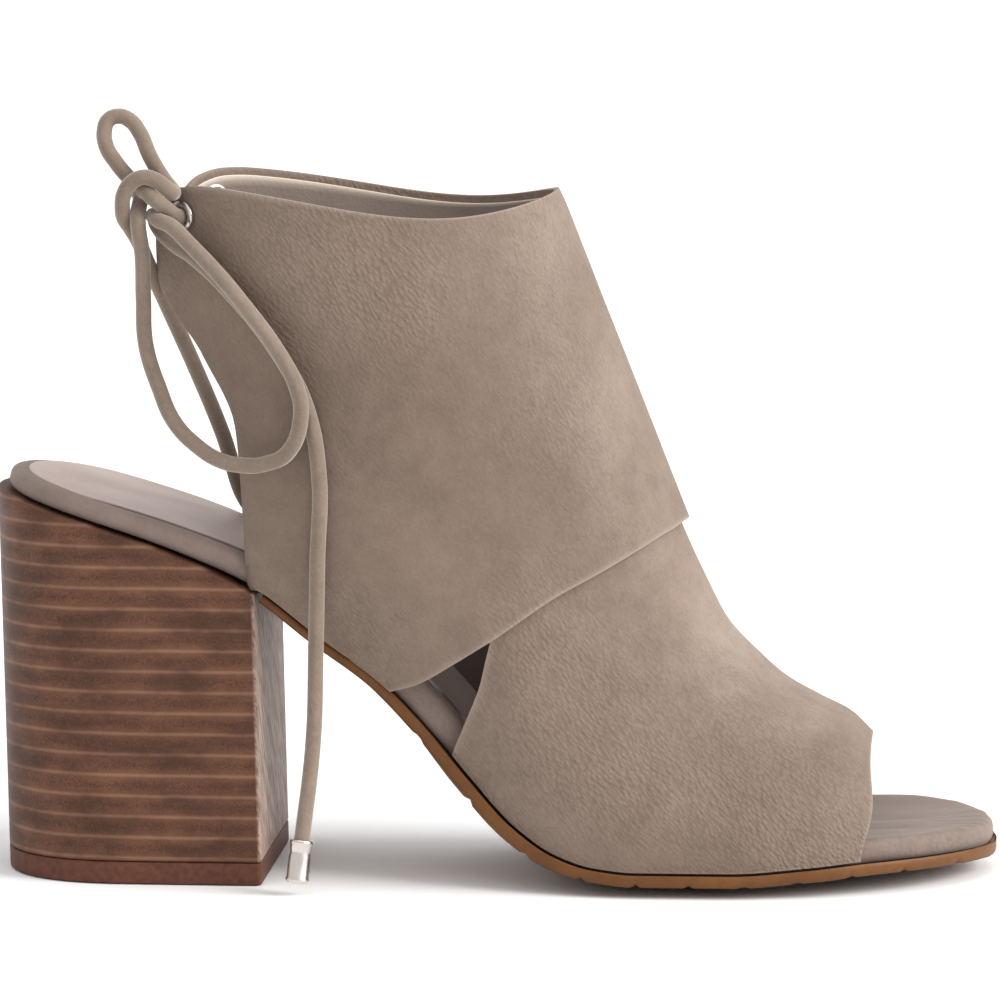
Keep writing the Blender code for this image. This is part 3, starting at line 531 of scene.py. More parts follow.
tan_sole = bpy.data.materials.new("tan_sole_leather")
tan_sole.use_nodes = True
tree = tan_sole.node_tree
shader = tree.nodes["Principled BSDF"]
place = tree.nodes.new("ShaderNodeTexCoord").outputs["Object"]
grain = add_node(tree, "TexNoise", [("Vector", place)], scale=60.0, detail=5.0, roughness=0.6)
fine = add_node(tree, "TexNoise", [("Vector", place)], scale=900.0, detail=3.0, roughness=0.6)
# A dark rim colour, painted shade along the top of the edge, mixed by an edge attribute that this piece does not carry,
# so it draws nothing
rim = tree.nodes.new("ShaderNodeAttribute")
rim.attribute_name = "edge"
tone = spread(tree, grain.outputs["Fac"], 0.3, 0.7)
colour = blend_colours(tree, tone, (0.104, 0.034, 0.006), (0.166, 0.064, 0.012))
colour = blend_colours(tree, spread(tree, fine.outputs["Fac"], 0.5, 0.8, 0.0, 0.35), colour, (0.055, 0.022, 0.008))
colour = blend_colours(tree, rim.outputs["Fac"], colour, (0.045, 0.020, 0.010))
tree.links.new(colour, shader.inputs["Base Color"])
shader.inputs["Roughness"].default_value = 0.5
shader.inputs["Specular IOR Level"].default_value = 0.30
bump = tree.nodes.new("ShaderNodeBump")
bump.inputs["Distance"].default_value = 0.0001
tree.links.new(fine.outputs["Fac"], bump.inputs["Height"])
tree.links.new(bump.outputs["Normal"], shader.inputs["Normal"])

rings = len(FACE_SHARES) * 2 + len(EDGE_PROFILE)
outsole = wrapped_piece("outsole_board", len(outline_x), rings, outsole_points, tan_sole)
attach(outsole, "root")
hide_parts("outsole")


# Heel
# Straight block of stacked leather lifts, glued and sanded smooth, round at the back and flat
# at the breast. Every lift shows as a band, with a pale line of glue between two.
ROUND_SHARES = 1 - np.cos(np.linspace(0, pi / 2, 41))
ROUND_START = -HEEL_LENGTH / 2 + SEAT_SPAN
HEEL_HALF = SEAT_WIDTH / 2
back_x = ROUND_START - (1 - ROUND_SHARES[::-1]) * SEAT_SPAN
back_x = ROUND_START - SEAT_SPAN * np.sin(np.linspace(pi / 2, 0, 41))
back_y = HEEL_HALF * (1 - ((ROUND_START - back_x) / SEAT_SPAN) ** 2.3) ** (1 / 2.3)
side_x = np.linspace(ROUND_START, HEEL_LENGTH / 2 - BREAST_CORNER, 30)[1:]
side_y = np.full(29, HEEL_HALF)
corner = np.linspace(0, pi / 2, 7)[1:]
corner_x = HEEL_LENGTH / 2 - BREAST_CORNER + BREAST_CORNER * np.sin(corner)
corner_y = HEEL_HALF - BREAST_CORNER + BREAST_CORNER * np.cos(corner)
flat_y = np.linspace(HEEL_HALF - BREAST_CORNER, 0, 14)[1:]
half_x = np.concatenate((back_x, side_x, corner_x, np.full(13, HEEL_LENGTH / 2)))
half_y = np.concatenate((back_y, side_y, corner_y, flat_y))
heel_x = np.concatenate((half_x, half_x[-2:0:-1]))
heel_y = np.concatenate((-half_y, half_y[-2:0:-1]))
LIFT_EDGE = (0.0007, 0.00035, 0.0001, 0.0)


# Points of a heel layer between two heights; the upper one may follow the seat
def block_points(low, high, side_rows):
    def place_block(u, v):
        shares = (0.0, 0.35, 0.7, 0.9)
        count = len(shares) + len(LIFT_EDGE)
        last = 2 * count + side_rows - 1
        near = np.minimum(v, last - v)
        cx = np.clip(heel_x[u], -0.006, 0.014)
        reach = np.hypot(heel_x[u] - cx, heel_y[u])
        edge = np.array(LIFT_EDGE)[np.clip(near - len(shares), 0, len(LIFT_EDGE) - 1)]
        out = np.where(near < len(shares), np.array(shares)[np.clip(near, 0, 3)], 1 - edge / reach)
        x = cx + (heel_x[u] - cx) * out
        y = heel_y[u] * out
        top = high(x) if callable(high) else high + 0 * x
        rise = np.clip((v - count) / max(side_rows - 1, 1), 0, 1)
        z = low + (top - low) * rise
        fall = np.clip(0.0007 - edge, 0, None) * (near >= len(shares)) * (1 - (1 - edge / 0.0007) ** 2)
        z = z + np.where(rise <= 0, edge * 0, 0) + np.where(v < count, 1, -1) * 0 * fall
        corner_drop = 0.0004 * (1 - np.sqrt(np.clip(1 - (1 - edge / 0.0007) ** 2, 0, 1)))
        at_edge = near >= len(shares)
        z += np.where(at_edge & (rise <= 0), corner_drop, 0.0) - np.where(at_edge & (rise >= 1), corner_drop, 0.0)
        x = x - HEEL_RAKE * z / SEAT_HEIGHT
        return np.stack((x, y, z), axis=-1)
    return place_block


stacked = bpy.data.materials.new("stacked_leather")
stacked.use_nodes = True
tree = stacked.node_tree
shader = tree.nodes["Principled BSDF"]
place = tree.nodes.new("ShaderNodeTexCoord").outputs["Object"]
parts = tree.nodes.new("ShaderNodeSeparateXYZ")
tree.links.new(place, parts.inputs[0])
stretch = tree.nodes.new("ShaderNodeMapping")
stretch.inputs["Scale"].default_value = (1.0, 1.0, 2.0)
tree.links.new(place, stretch.inputs["Vector"])
cloud = add_node(tree, "TexNoise", [("Vector", stretch.outputs["Vector"])], scale=85.0, detail=4.0, roughness=0.6)
speck = add_node(tree, "TexNoise", [("Vector", place)], scale=2000.0, detail=3.0, roughness=0.75)
sway = add_node(tree, "TexNoise", [("Vector", place)], scale=30.0, detail=1.0)
height = maths(tree, "ADD", parts.outputs["Z"], maths(tree, "MULTIPLY", maths(tree, "SUBTRACT", sway.outputs["Fac"], 0.5), 0.0007))
band = maths(tree, "FRACT", maths(tree, "DIVIDE", maths(tree, "SUBTRACT", height, 0.0106 - 0.0466), 0.00466))
to_line = maths(tree, "ABSOLUTE", maths(tree, "SUBTRACT", band, 0.5))
line = maths(tree, "MULTIPLY", spread(tree, to_line, 0.38, 0.48), spread(tree, cloud.outputs["Fac"], 0.35, 0.6, 0.35, 1.0))
core = spread(tree, maths(tree, "ADD", to_line, maths(tree, "MULTIPLY", maths(tree, "SUBTRACT", cloud.outputs["Fac"], 0.5), 0.5)), 0.05, 0.42, 1.0, 0.0)
tone = spread(tree, cloud.outputs["Fac"], 0.32, 0.68)
colour = blend_colours(tree, tone, (0.078, 0.030, 0.015), (0.168, 0.069, 0.036))
speckle = spread(tree, speck.outputs["Fac"], 0.36, 0.62)
dark_share = maths(tree, "MULTIPLY", spread(tree, core, 0.0, 1.0, 0.28, 0.85), spread(tree, speckle, 0.0, 1.0, 0.15, 1.0))
colour = blend_colours(tree, dark_share, colour, (0.038, 0.015, 0.008))
colour = blend_colours(tree, maths(tree, "MULTIPLY", line, 0.58), colour, (0.268, 0.150, 0.096))
# The breast is painted pale, a painted sheen standing in for its reflection, with the marks of the sanding belt running
# down across it
front = maths(tree, "ADD", parts.outputs["X"], maths(tree, "MULTIPLY", parts.outputs["Z"], HEEL_RAKE / SEAT_HEIGHT))
breast = spread(tree, front, 0.0293, 0.0300)
belt = tree.nodes.new("ShaderNodeMapping")
belt.inputs["Rotation"].default_value = (radians(52), 0.0, 0.0)
tree.links.new(place, belt.inputs["Vector"])
drawn = tree.nodes.new("ShaderNodeMapping")
drawn.inputs["Scale"].default_value = (1.0, 0.12, 1.0)
tree.links.new(belt.outputs["Vector"], drawn.inputs["Vector"])
marks = add_node(tree, "TexNoise", [("Vector", drawn.outputs["Vector"])], scale=900.0, detail=3.0, roughness=0.7)
mark_share = spread(tree, marks.outputs["Fac"], 0.35, 0.65)
breast_painted_sheen = blend_colours(tree, mark_share, (0.170, 0.095, 0.066), (0.600, 0.440, 0.360))
colour = blend_colours(tree, maths(tree, "MULTIPLY", breast, 0.88), colour, breast_painted_sheen)
tree.links.new(colour, shader.inputs["Base Color"])
shader.inputs["Roughness"].default_value = 0.52
shader.inputs["Specular IOR Level"].default_value = 0.25
bump = tree.nodes.new("ShaderNodeBump")
bump.inputs["Distance"].default_value = 0.00008
groove = maths(tree, "ADD", maths(tree, "MULTIPLY", line, 0.5), maths(tree, "MULTIPLY", speck.outputs["Fac"], 0.8))
groove = maths(tree, "ADD", groove, maths(tree, "MULTIPLY", maths(tree, "MULTIPLY", breast, mark_share), 2.0))
tree.links.new(groove, bump.inputs["Height"])
tree.links.new(bump.outputs["Normal"], shader.inputs["Normal"])


def seat_line(x):
    return feather_height(x) - GAP


SIDE_ROWS = 22
count = 8
heel = wrapped_piece(
    "stacked_heel", len(heel_x), 2 * count + SIDE_ROWS, block_points(TOP_LIFT + 0.00005, seat_line, SIDE_ROWS), stacked
)
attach(heel, "root")
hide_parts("heel")

rubber = bpy.data.materials.new("dark_lift_rubber")
rubber.use_nodes = True
tree = rubber.node_tree
shader = tree.nodes["Principled BSDF"]
place = tree.nodes.new("ShaderNodeTexCoord").outputs["Object"]
fine = add_node(tree, "TexNoise", [("Vector", place)], scale=700.0, detail=3.0)
colour = blend_colours(tree, spread(tree, fine.outputs["Fac"], 0.3, 0.7), (0.080, 0.024, 0.012), (0.128, 0.042, 0.023))
tree.links.new(colour, shader.inputs["Base Color"])
shader.inputs["Roughness"].default_value = 0.6
shader.inputs["Specular IOR Level"].default_value = 0.30
top_lift = wrapped_piece("heel_top_lift", len(heel_x), 2 * count + 4, block_points(0.0, TOP_LIFT, 4), rubber)
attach(top_lift, "root")
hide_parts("top_lift")


# Insole
# Padded board wrapped in taupe suede, which is gathered in small pleats round the square toe,
# with a pale smooth leather sock laid on it at the heel and under the arch.
PAD_START = SEAT_BACK + 0.0021
PAD_END = TOE_TIP - 0.0007
CoverRow = namedtuple("CoverRow", "along outer inner")
COVER_ROWS = (
    CoverRow(0.000, 0.0, 0.0),
    CoverRow(0.320, 0.0, 0.0),
    CoverRow(0.345, 0.0, 1.0),
    CoverRow(0.440, 0.0, 1.0),
    CoverRow(0.462, 1.0, 1.0),
    CoverRow(0.868, 1.0, 1.0),
    CoverRow(0.930, 0.0, 0.0),
    CoverRow(1.000, 0.0, 0.0),
)
PadRing = namedtuple("PadRing", "inset height")
PAD_TOP = (
    PadRing(0.0000, 0.60),
    PadRing(0.0002, 0.76),
    PadRing(0.0006, 0.87),
    PadRing(0.0013, 0.95),
    PadRing(0.0022, 0.99),
    PadRing(0.0034, 1.00),
    PadRing(0.0060, 0.98),
    PadRing(0.0100, 0.95),
    PadRing(0.0160, 0.92),
    PadRing(0.0300, 0.90),
)
PAD_UNDER = (
    PadRing(0.0000, 0.45),
    PadRing(0.0000, 0.28),
    PadRing(0.0003, 0.13),
    PadRing(0.0008, 0.03),
    PadRing(0.0012, 0.00),
)


def pad_edges(x):
    outer, inner = sole_edges(x, 0.0021, 0.0007)
    along = (x - SEAT_BACK) / SHOE_LENGTH
    outer = outer + 0.0014 + follow(COVER_ROWS, "outer", along) * 0.0019
    inner = inner - 0.0014 - follow(COVER_ROWS, "inner", along) * 0.0019
    crossed = inner < outer
    middle = (inner + outer) / 2
    return np.where(crossed, middle, outer), np.where(crossed, middle, inner)


pad_x = outline_places(PAD_START, PAD_END, 260)
pad_outer, pad_inner = pad_edges(pad_x)
pad_outline_x = np.concatenate((pad_x, pad_x[-2:0:-1]))
pad_outline_y = np.concatenate((pad_outer, pad_inner[-2:0:-1]))


# A point of the insole on the line from its spine to its edge. inset None means a share
def pad_point(px, py, inset, share, height, lift=0.0):
    cx = np.clip(px, PAD_START + 0.024, PAD_END - 0.024)
    low, high = pad_edges(cx)
    cy = (low + high) / 2
    reach = np.hypot(px - cx, py - cy)
    out = np.where(np.isnan(inset), share * (1 - 0.016 / np.maximum(reach, 0.017)), 1 - inset / np.maximum(reach, 0.0001))
    out = np.clip(out, 0.0, 1.0)
    x = cx + (px - cx) * out
    y = cy + (py - cy) * out
    low, high = sole_edges(x)
    across = np.clip((y - (low + high) / 2) / np.maximum((high - low) / 2, 0.001), -1, 1)
    pad = sole_value("pad", x) * PAD_HEIGHT
    pleat_zone = np.clip((x - (PAD_END - 0.014)) / 0.010, 0, 1) * np.clip((height - 0.3) / 0.4, 0, 1)
    pleats = np.abs(np.sin(y / 0.0019 + 1.4 * np.sin(y / 0.007))) ** 0.7
    folds = np.clip((x - (PAD_END - 0.040)) / 0.010, 0, 1) * np.clip((PAD_END - 0.010 - x) / 0.012, 0, 1)
    folds = folds * np.clip((height - 0.85) / 0.05, 0, 1)
    fold_depth = folds * np.clip(np.sin(y / 0.0027 + 2.0 * np.sin(y / 0.011) + 20 * x), -0.2, 1) * 0.00035
    h = height * pad - pleat_zone * pleats * 0.00035 - fold_depth + lift
    return sole_points(x, y, across, h)


def insole_points(u, v):
    inner_rows = 6
    top = len(PAD_TOP) - 1
    insets = [np.nan] * inner_rows + [row.inset for row in reversed(PAD_TOP[:-1])]
    heights = [0.90, 0.90, 0.90, 0.905, 0.91, 0.915] + [row.height for row in reversed(PAD_TOP[:-1])]
    shares = [0.0, 0.2, 0.4, 0.6, 0.8, 0.95] + [0.0] * top
    insets += [row.inset for row in PAD_UNDER] + [np.nan] * 4
    heights += [row.height for row in PAD_UNDER] + [0.0] * 4
    shares += [0.0] * len(PAD_UNDER) + [0.9, 0.6, 0.3, 0.0]
    pick = lambda values: np.array(values)[v]
    return pad_point(pad_outline_x[u], pad_outline_y[u], pick(insets), pick(shares), pick(heights))


suede = napped_leather(
    "taupe_suede",
    dark=(0.165, 0.122, 0.102),
    base=(0.245, 0.188, 0.162),
    pale=(0.400, 0.330, 0.280),
    edge=(0.220, 0.170, 0.140),
    wrinkle=0.0,
    depth=0.00012,
    sheen=0.25,
)
pad_rings = 6 + len(PAD_TOP) - 1 + len(PAD_UNDER) + 4
insole = wrapped_piece("padded_insole", len(pad_outline_x), pad_rings, insole_points, suede)
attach(insole, "root")
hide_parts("insole")

SOCK_END = 0.105
SOCK_INSET = 0.0036
sock_x = pad_x[pad_x <= SOCK_END]
sock_outer, sock_inner = pad_edges(sock_x)
sock_outline_x = np.concatenate((sock_x[::-1], sock_x[1:]))
sock_outline_y = np.concatenate((sock_outer[::-1], sock_inner[1:]))
SOCK_ROWS = ((np.nan, 0.0, 0.90), (np.nan, 0.3, 0.90), (np.nan, 0.6, 0.905), (np.nan, 0.9, 0.915))
SOCK_ROWS += ((0.0160, 0.0, 0.92), (0.0100, 0.0, 0.95), (0.0060, 0.0, 0.98), (0.0042, 0.0, 0.995))


def sock_points(u, v):
    rows = [(*row, 0.0005) for row in SOCK_ROWS]
    rows += [(SOCK_INSET + 0.0002, 0.0, 0.998, 0.0004), (SOCK_INSET, 0.0, 0.998, 0.0002), (SOCK_INSET, 0.0, 0.998, -0.0002)]
    rows += [(*row, -0.0003) for row in reversed(SOCK_ROWS)]
    inset, share, height, lift = (np.array([row[k] for row in rows])[v] for k in range(4))
    return pad_point(sock_outline_x[u], sock_outline_y[u], inset, share, height, lift)


# How far a point of the sock lies in from the insole's edge, across the shoe or along it
def pad_inset(points):
    low, high = pad_edges(points[:, 0])
    beside = np.minimum(points[:, 1] - low, high - points[:, 1])
    return np.minimum(beside, points[:, 0] - PAD_START)


def mark_rows(piece, label, limits, measure):
    flat = np.empty(len(piece.data.vertices) * 3)
    piece.data.vertices.foreach_get("co", flat)
    near, far = limits
    level = np.clip((far - measure(flat.reshape(-1, 3))) / (far - near), 0, 1)
    layer = piece.data.attributes.new(label, "FLOAT", "POINT")
    layer.data.foreach_set("value", level)


sock_leather = bpy.data.materials.new("sock_leather")
sock_leather.use_nodes = True
tree = sock_leather.node_tree
shader = tree.nodes["Principled BSDF"]
place = tree.nodes.new("ShaderNodeTexCoord").outputs["Object"]
cloud = add_node(tree, "TexNoise", [("Vector", place)], scale=45.0, detail=3.0)
fine = add_node(tree, "TexVoronoi", [("Vector", place)], scale=1400.0)
colour = blend_colours(tree, spread(tree, cloud.outputs["Fac"], 0.3, 0.7), (0.450, 0.355, 0.318), (0.560, 0.455, 0.412))
# The sock's edge rows are painted dark: painted shade in the groove where the sock meets the insole
border = tree.nodes.new("ShaderNodeAttribute")
border.attribute_name = "edge"
colour = blend_colours(tree, border.outputs["Fac"], colour, (0.130, 0.098, 0.082))
tree.links.new(colour, shader.inputs["Base Color"])
shader.inputs["Roughness"].default_value = 0.55
bump = tree.nodes.new("ShaderNodeBump")
bump.inputs["Distance"].default_value = 0.00005
tree.links.new(fine.outputs["Distance"], bump.inputs["Height"])
tree.links.new(bump.outputs["Normal"], shader.inputs["Normal"])
sock_rings = 2 * len(SOCK_ROWS) + 3
sock = wrapped_piece("sock_lining", len(sock_outline_x) - 1, sock_rings, sock_points, sock_leather, closed=False)
# Its edge rows carry the painted shade along the step down to the insole
mark_rows(sock, "edge", (SOCK_INSET, SOCK_INSET + 0.0005), pad_inset)
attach(sock, "root")


# Upper
# One last shape, fanned in sections from the toe opening round to the collar. The vamp is cut
# from it first; the shaft is wrapped over the vamp and left open at the back.
COLLAR_HEIGHT = 0.1529
COLLAR_REACH = 0.0940
COLLAR_DIP = 0.0045
RIDGE_SET = 0.0050
SOLE_LEDGE = 0.0013
FOOT_LIFT = 0.0006
BACK_BLEND = 0.16
DIP_POWER = 1.9
UpperRow = namedtuple("UpperRow", "place along lift back reach top bulge widest full set dip")
UPPER_ROWS = (
    UpperRow(0, 0.868, 0.00, 0.90, 1.758, 0.197, 1.04, 0.25, 2.10, 1.00, 0.00),
    UpperRow(1, 0.839, 0.00, 0.90, 1.705, 0.229, 1.03, 0.24, 2.10, 1.00, 0.00),
    UpperRow(2, 0.799, 0.00, 0.90, 1.630, 0.254, 1.02, 0.22, 2.05, 1.00, 0.00),
    UpperRow(3, 0.746, 0.00, 0.90, 1.552, 0.282, 1.02, 0.20, 2.00, 1.00, 0.00),
    UpperRow(4, 0.684, 0.00, 0.90, 1.481, 0.321, 1.02, 0.20, 1.95, 1.00, 0.00),
    UpperRow(5, 0.622, 0.00, 0.90, 1.411, 0.368, 1.03, 0.21, 1.90, 0.95, 0.00),
    UpperRow(6, 0.564, 0.00, 0.90, 1.358, 0.430, 1.08, 0.23, 1.85, 0.90, 0.00),
    UpperRow(7, 0.511, 0.00, 0.90, 1.306, 0.500, 1.17, 0.26, 1.80, 0.80, 0.00),
    UpperRow(8, 0.462, 0.00, 0.90, 1.258, 0.574, 1.29, 0.30, 1.80, 0.70, 0.00),
    UpperRow(9, 0.404, 0.00, 0.90, 1.208, 0.653, 1.39, 0.33, 1.82, 0.60, 0.00),
    UpperRow(10, 0.342, 0.00, 0.90, 1.151, 0.743, 1.32, 0.36, 1.85, 0.45, 0.00),
    UpperRow(11, 0.269, 0.00, 0.90, 1.090, 0.838, 1.23, 0.38, 1.90, 0.30, 0.05),
    UpperRow(12, 0.264, 0.17, 0.88, 1.066, 0.876, 1.29, 0.41, 1.92, 0.24, 0.15),
    UpperRow(13, 0.256, 0.40, 0.81, 1.043, 0.912, 1.44, 0.44, 1.95, 0.18, 0.30),
    UpperRow(14, 0.222, 0.58, 0.73, 1.020, 0.948, 1.65, 0.47, 2.00, 0.12, 0.55),
    UpperRow(15, 0.178, 0.78, 0.64, 1.000, 0.979, 1.88, 0.49, 2.05, 0.06, 0.80),
    UpperRow(16, 0.174, 1.055, 0.60, 0.984, 1.000, 2.00, 0.50, 2.10, 0.00, 1.00),
)


def upper_points(section, across):
    section, across = np.broadcast_arrays(np.asarray(section, float), np.asarray(across, float))
    row = {name: follow(UPPER_ROWS, name, section) for name in UpperRow._fields[1:]}
    x = SEAT_BACK + row["along"] * SHOE_LENGTH
    outer, inner = sole_edges(x)
    base = sole_points(x, 0 * x, 1 + 0 * x, FOOT_LIFT)
    back = row["back"] * SEAT_WIDTH / 2
    part = np.minimum(row["lift"] / BACK_BLEND, 1.0)
    foot_outer = -(outer + SOLE_LEDGE) * (1 - part) + back * part
    foot_inner = (inner - SOLE_LEDGE) * (1 - part) + back * part
    base[..., 2] += row["lift"] * (COLLAR_HEIGHT - base[..., 2])
    ridge = np.stack((row["reach"] * COLLAR_REACH, 0 * x, row["top"] * COLLAR_HEIGHT), axis=-1)
    foot = np.where(across > 0, foot_inner, foot_outer)
    wide = foot * row["bulge"]
    limit = pi - np.arcsin(foot / wide)
    angle = np.clip(np.abs(across), 0, 1) * limit
    power = 2 / row["full"]
    side = np.where(across > 0, 1.0, -1.0)
    set_in = row["set"] * RIDGE_SET
    cosine = np.clip(np.cos(angle), 0, 1)
    upper_up = row["widest"] + (1 - row["widest"]) * cosine ** power
    upper_y = set_in + (side * wide - set_in) * np.clip(np.sin(angle), 0, 1) ** power
    lower_up = row["widest"] * (1 - np.cos(angle) / np.cos(limit))
    lower_y = side * wide * np.sin(angle)
    early = angle < pi / 2
    up = np.where(early, upper_up, lower_up)
    point = base + (ridge - base) * up[..., None]
    point[..., 1] = np.where(early, upper_y, lower_y)
    point[..., 2] -= np.sin(pi * np.clip(up, 0, 1) ** DIP_POWER) * row["dip"] * COLLAR_DIP
    # The toe opening's edge bows forward halfway up its sides
    bow = np.clip(1 - section / 1.5, 0, 1) ** 2 * np.sin(pi * np.clip(up, 0, 1)) ** 2
    point[..., 0] += np.where(across < 0, 0.0016, -0.0006) * bow
    # The foot of a panel is pulled down to the sole and in under the insole
    tuck = np.clip(np.abs(across) - 1, 0, None) / 0.02 * (1 - np.clip(row["lift"] / 0.05, 0, 1))
    point[..., 2] -= tuck * 0.0006
    return point


EdgeRow = namedtuple("EdgeRow", "across section")
VAMP_BACK_ROWS = (
    EdgeRow(-1.00, 8.00),
    EdgeRow(-0.90, 8.11),
    EdgeRow(-0.79, 8.27),
    EdgeRow(-0.68, 8.54),
    EdgeRow(-0.58, 8.85),
    EdgeRow(-0.45, 9.00),
    EdgeRow(-0.25, 8.70),
    EdgeRow(0.00, 8.40),
    EdgeRow(0.40, 9.00),
    EdgeRow(0.70, 9.60),
    EdgeRow(1.00, 9.90),
)
SHAFT_FRONT_ROWS = (
    EdgeRow(-1.00, 9.02),
    EdgeRow(-0.90, 8.83),
    EdgeRow(-0.79, 8.70),
    EdgeRow(-0.68, 8.57),
    EdgeRow(-0.54, 8.35),
    EdgeRow(-0.38, 7.91),
    EdgeRow(-0.26, 7.60),
    EdgeRow(-0.12, 7.32),
    EdgeRow(0.00, 7.22),
    EdgeRow(0.15, 7.36),
    EdgeRow(0.35, 7.80),
    EdgeRow(0.60, 8.35),
    EdgeRow(0.80, 8.70),
    EdgeRow(1.00, 9.02),
)
COLLAR_ROWS = (
    EdgeRow(-1.00, 15.67),
    EdgeRow(-0.94, 15.89),
    EdgeRow(-0.88, 15.98),
    EdgeRow(-0.82, 16.00),
    EdgeRow(0.82, 16.00),
    EdgeRow(0.88, 15.98),
    EdgeRow(0.94, 15.89),
    EdgeRow(1.00, 15.67),
)
# Soft creases: two ends, depth, half width, in metres. A negative depth stands up as a ridge
Crease = namedtuple("Crease", "x0 z0 x1 z1 depth width side")
CREASES = (
    Crease(0.073, 0.055, 0.080, 0.046, 0.0006, 0.0040, -1),
    Crease(0.060, 0.112, 0.092, 0.086, 0.0005, 0.0060, -1),
    Crease(0.052, 0.096, 0.080, 0.072, 0.0004, 0.0060, -1),
    Crease(0.096, 0.070, 0.116, 0.052, 0.0004, 0.0045, -1),
    Crease(0.018, 0.140, 0.040, 0.122, 0.0004, 0.0060, -1),
)


# A panel of the upper is a fine grid laid on the last shape between two edges. offset is its
# inner face's distance from the last, trim takes a strip off every free edge.
def upper_panel(name, front, back, counts, offset, wall, material, trim=(0.0, 0.0, 0.0), tuck=0.02):
    bpy.ops.mesh.primitive_grid_add(x_subdivisions=counts[0], y_subdivisions=counts[1], size=1)
    piece = bpy.context.object
    piece.name = name
    mesh = piece.data
    flat = np.empty(len(mesh.vertices) * 3)
    mesh.vertices.foreach_get("co", flat)
    flat = flat.reshape(-1, 3)
    i = np.rint((flat[:, 0] + 0.5) * counts[0]).astype(int)
    j = np.rint((flat[:, 1] + 0.5) * counts[1]).astype(int)
    reach = 1 + tuck - trim[2]
    across = np.linspace(-reach, reach, counts[0] + 1)
    start = follow(front, "section", np.clip(across, -1, 1))
    end = follow(back, "section", np.clip(across, -1, 1))
    start_pace = np.linalg.norm(upper_points(start + 0.1, across) - upper_points(start, across), axis=-1) / 0.1
    end_pace = np.linalg.norm(upper_points(end, across) - upper_points(end - 0.1, across), axis=-1) / 0.1
    start = start + trim[0] / start_pace
    end = end - trim[1] / end_pace
    share = np.linspace(0, 1, counts[1] + 1)
    section = start[:, None] + (end - start)[:, None] * share[None, :]
    grid = upper_points(section, across[:, None] + 0 * section)
    along_side = np.gradient(grid, axis=0)
    along_fan = np.gradient(grid, axis=1)
    normal = np.cross(along_side, along_fan)
    normal /= np.maximum(np.linalg.norm(normal, axis=-1, keepdims=True), 1e-12)
    middle = normal[counts[0] // 2, counts[1] // 2]
    if middle[0] + middle[2] < 0:
        normal = -normal
    push = np.full(section.shape, offset)
    for crease in CREASES:
        run = np.array((crease.x1 - crease.x0, crease.z1 - crease.z0))
        length = np.hypot(*run)
        rx = grid[..., 0] - crease.x0
        rz = grid[..., 2] - crease.z0
        along = (rx * run[0] + rz * run[1]) / length ** 2
        off = (rx * run[1] - rz * run[0]) / length
        beyond = np.clip(np.abs(along - 0.5) - 0.5, 0, None) * length
        level = np.exp(-(off / crease.width) ** 2 - (beyond / (crease.width * 1.6)) ** 2)
        push = push - crease.depth * level * (np.sign(grid[..., 1]) == crease.side)
    grid = grid + normal * push[..., None]
    mesh.vertices.foreach_set("co", grid[i, j].astype(float).ravel())
    mesh.update()
    border = (i <= 0) | (i >= counts[0]) | (j <= 0) | (j >= counts[1])
    near = (i <= 1) | (i >= counts[0] - 1) | (j <= 1) | (j >= counts[1] - 1)
    edge_layer = mesh.attributes.new("edge", "FLOAT", "POINT")
    edge_layer.data.foreach_set("value", (0.7 * border + 0.3 * near).astype(float))
    faces = np.empty(len(mesh.polygons) * 3)
    centres = np.empty(len(mesh.polygons) * 3)
    mesh.polygons.foreach_get("normal", faces)
    mesh.polygons.foreach_get("center", centres)
    faces, centres = faces.reshape(-1, 3), centres.reshape(-1, 3)
    outward = faces[:, 1] * np.sign(centres[:, 1])
    if outward[np.abs(centres[:, 1]) > 0.02].mean() < 0:
        mesh.flip_normals()
    shell = piece.modifiers.new("wall", "SOLIDIFY")
    shell.thickness = wall
    shell.offset = 1
    shell.use_even_offset = False
    bpy.ops.object.modifier_apply(modifier="wall")
    turned = piece.modifiers.new("turned_edge", "BEVEL")
    turned.width = min(wall * 0.42, 0.0006)
    turned.segments = 3
    turned.limit_method = "ANGLE"
    turned.angle_limit = radians(55)
    turned.use_clamp_overlap = True
    bpy.ops.object.modifier_apply(modifier="turned_edge")
    bpy.ops.object.shade_smooth()
    piece.data.materials.append(material)
    return piece


# Pale rubbed spots of a panel, painted highlight and painted shade on it, and its cut or folded edges, as point
# attributes
RubAndLightSpot = namedtuple("RubAndLightSpot", "x z reach_x reach_z strength")
RUBS_AND_PAINTED_LIGHT = (
    # Painted shade on the middle and top of the shaft's outer side
    RubAndLightSpot(0.064, 0.100, 0.024, 0.022, -0.16),
    RubAndLightSpot(0.024, 0.125, 0.012, 0.020, -0.10),
    # Painted light low on the shaft's outer side
    RubAndLightSpot(0.046, 0.058, 0.014, 0.014, 0.10),
    # Painted shade low on the vamp near the sole
    RubAndLightSpot(0.140, 0.030, 0.016, 0.010, -0.08),
    # Lighter spots on the vamp's top
    RubAndLightSpot(0.150, 0.036, 0.008, 0.004, 0.35),
    RubAndLightSpot(0.131, 0.056, 0.009, 0.012, 0.34),
    RubAndLightSpot(0.136, 0.050, 0.004, 0.007, 0.20),
    RubAndLightSpot(0.151, 0.044, 0.012, 0.006, 0.34),
    # Painted highlight up the front ridge of the upper, where the toe lamp falls
    RubAndLightSpot(0.116, 0.080, 0.007, 0.018, 0.24),
    RubAndLightSpot(0.106, 0.105, 0.006, 0.024, 0.20),
    RubAndLightSpot(0.094, 0.138, 0.006, 0.024, 0.15),
)


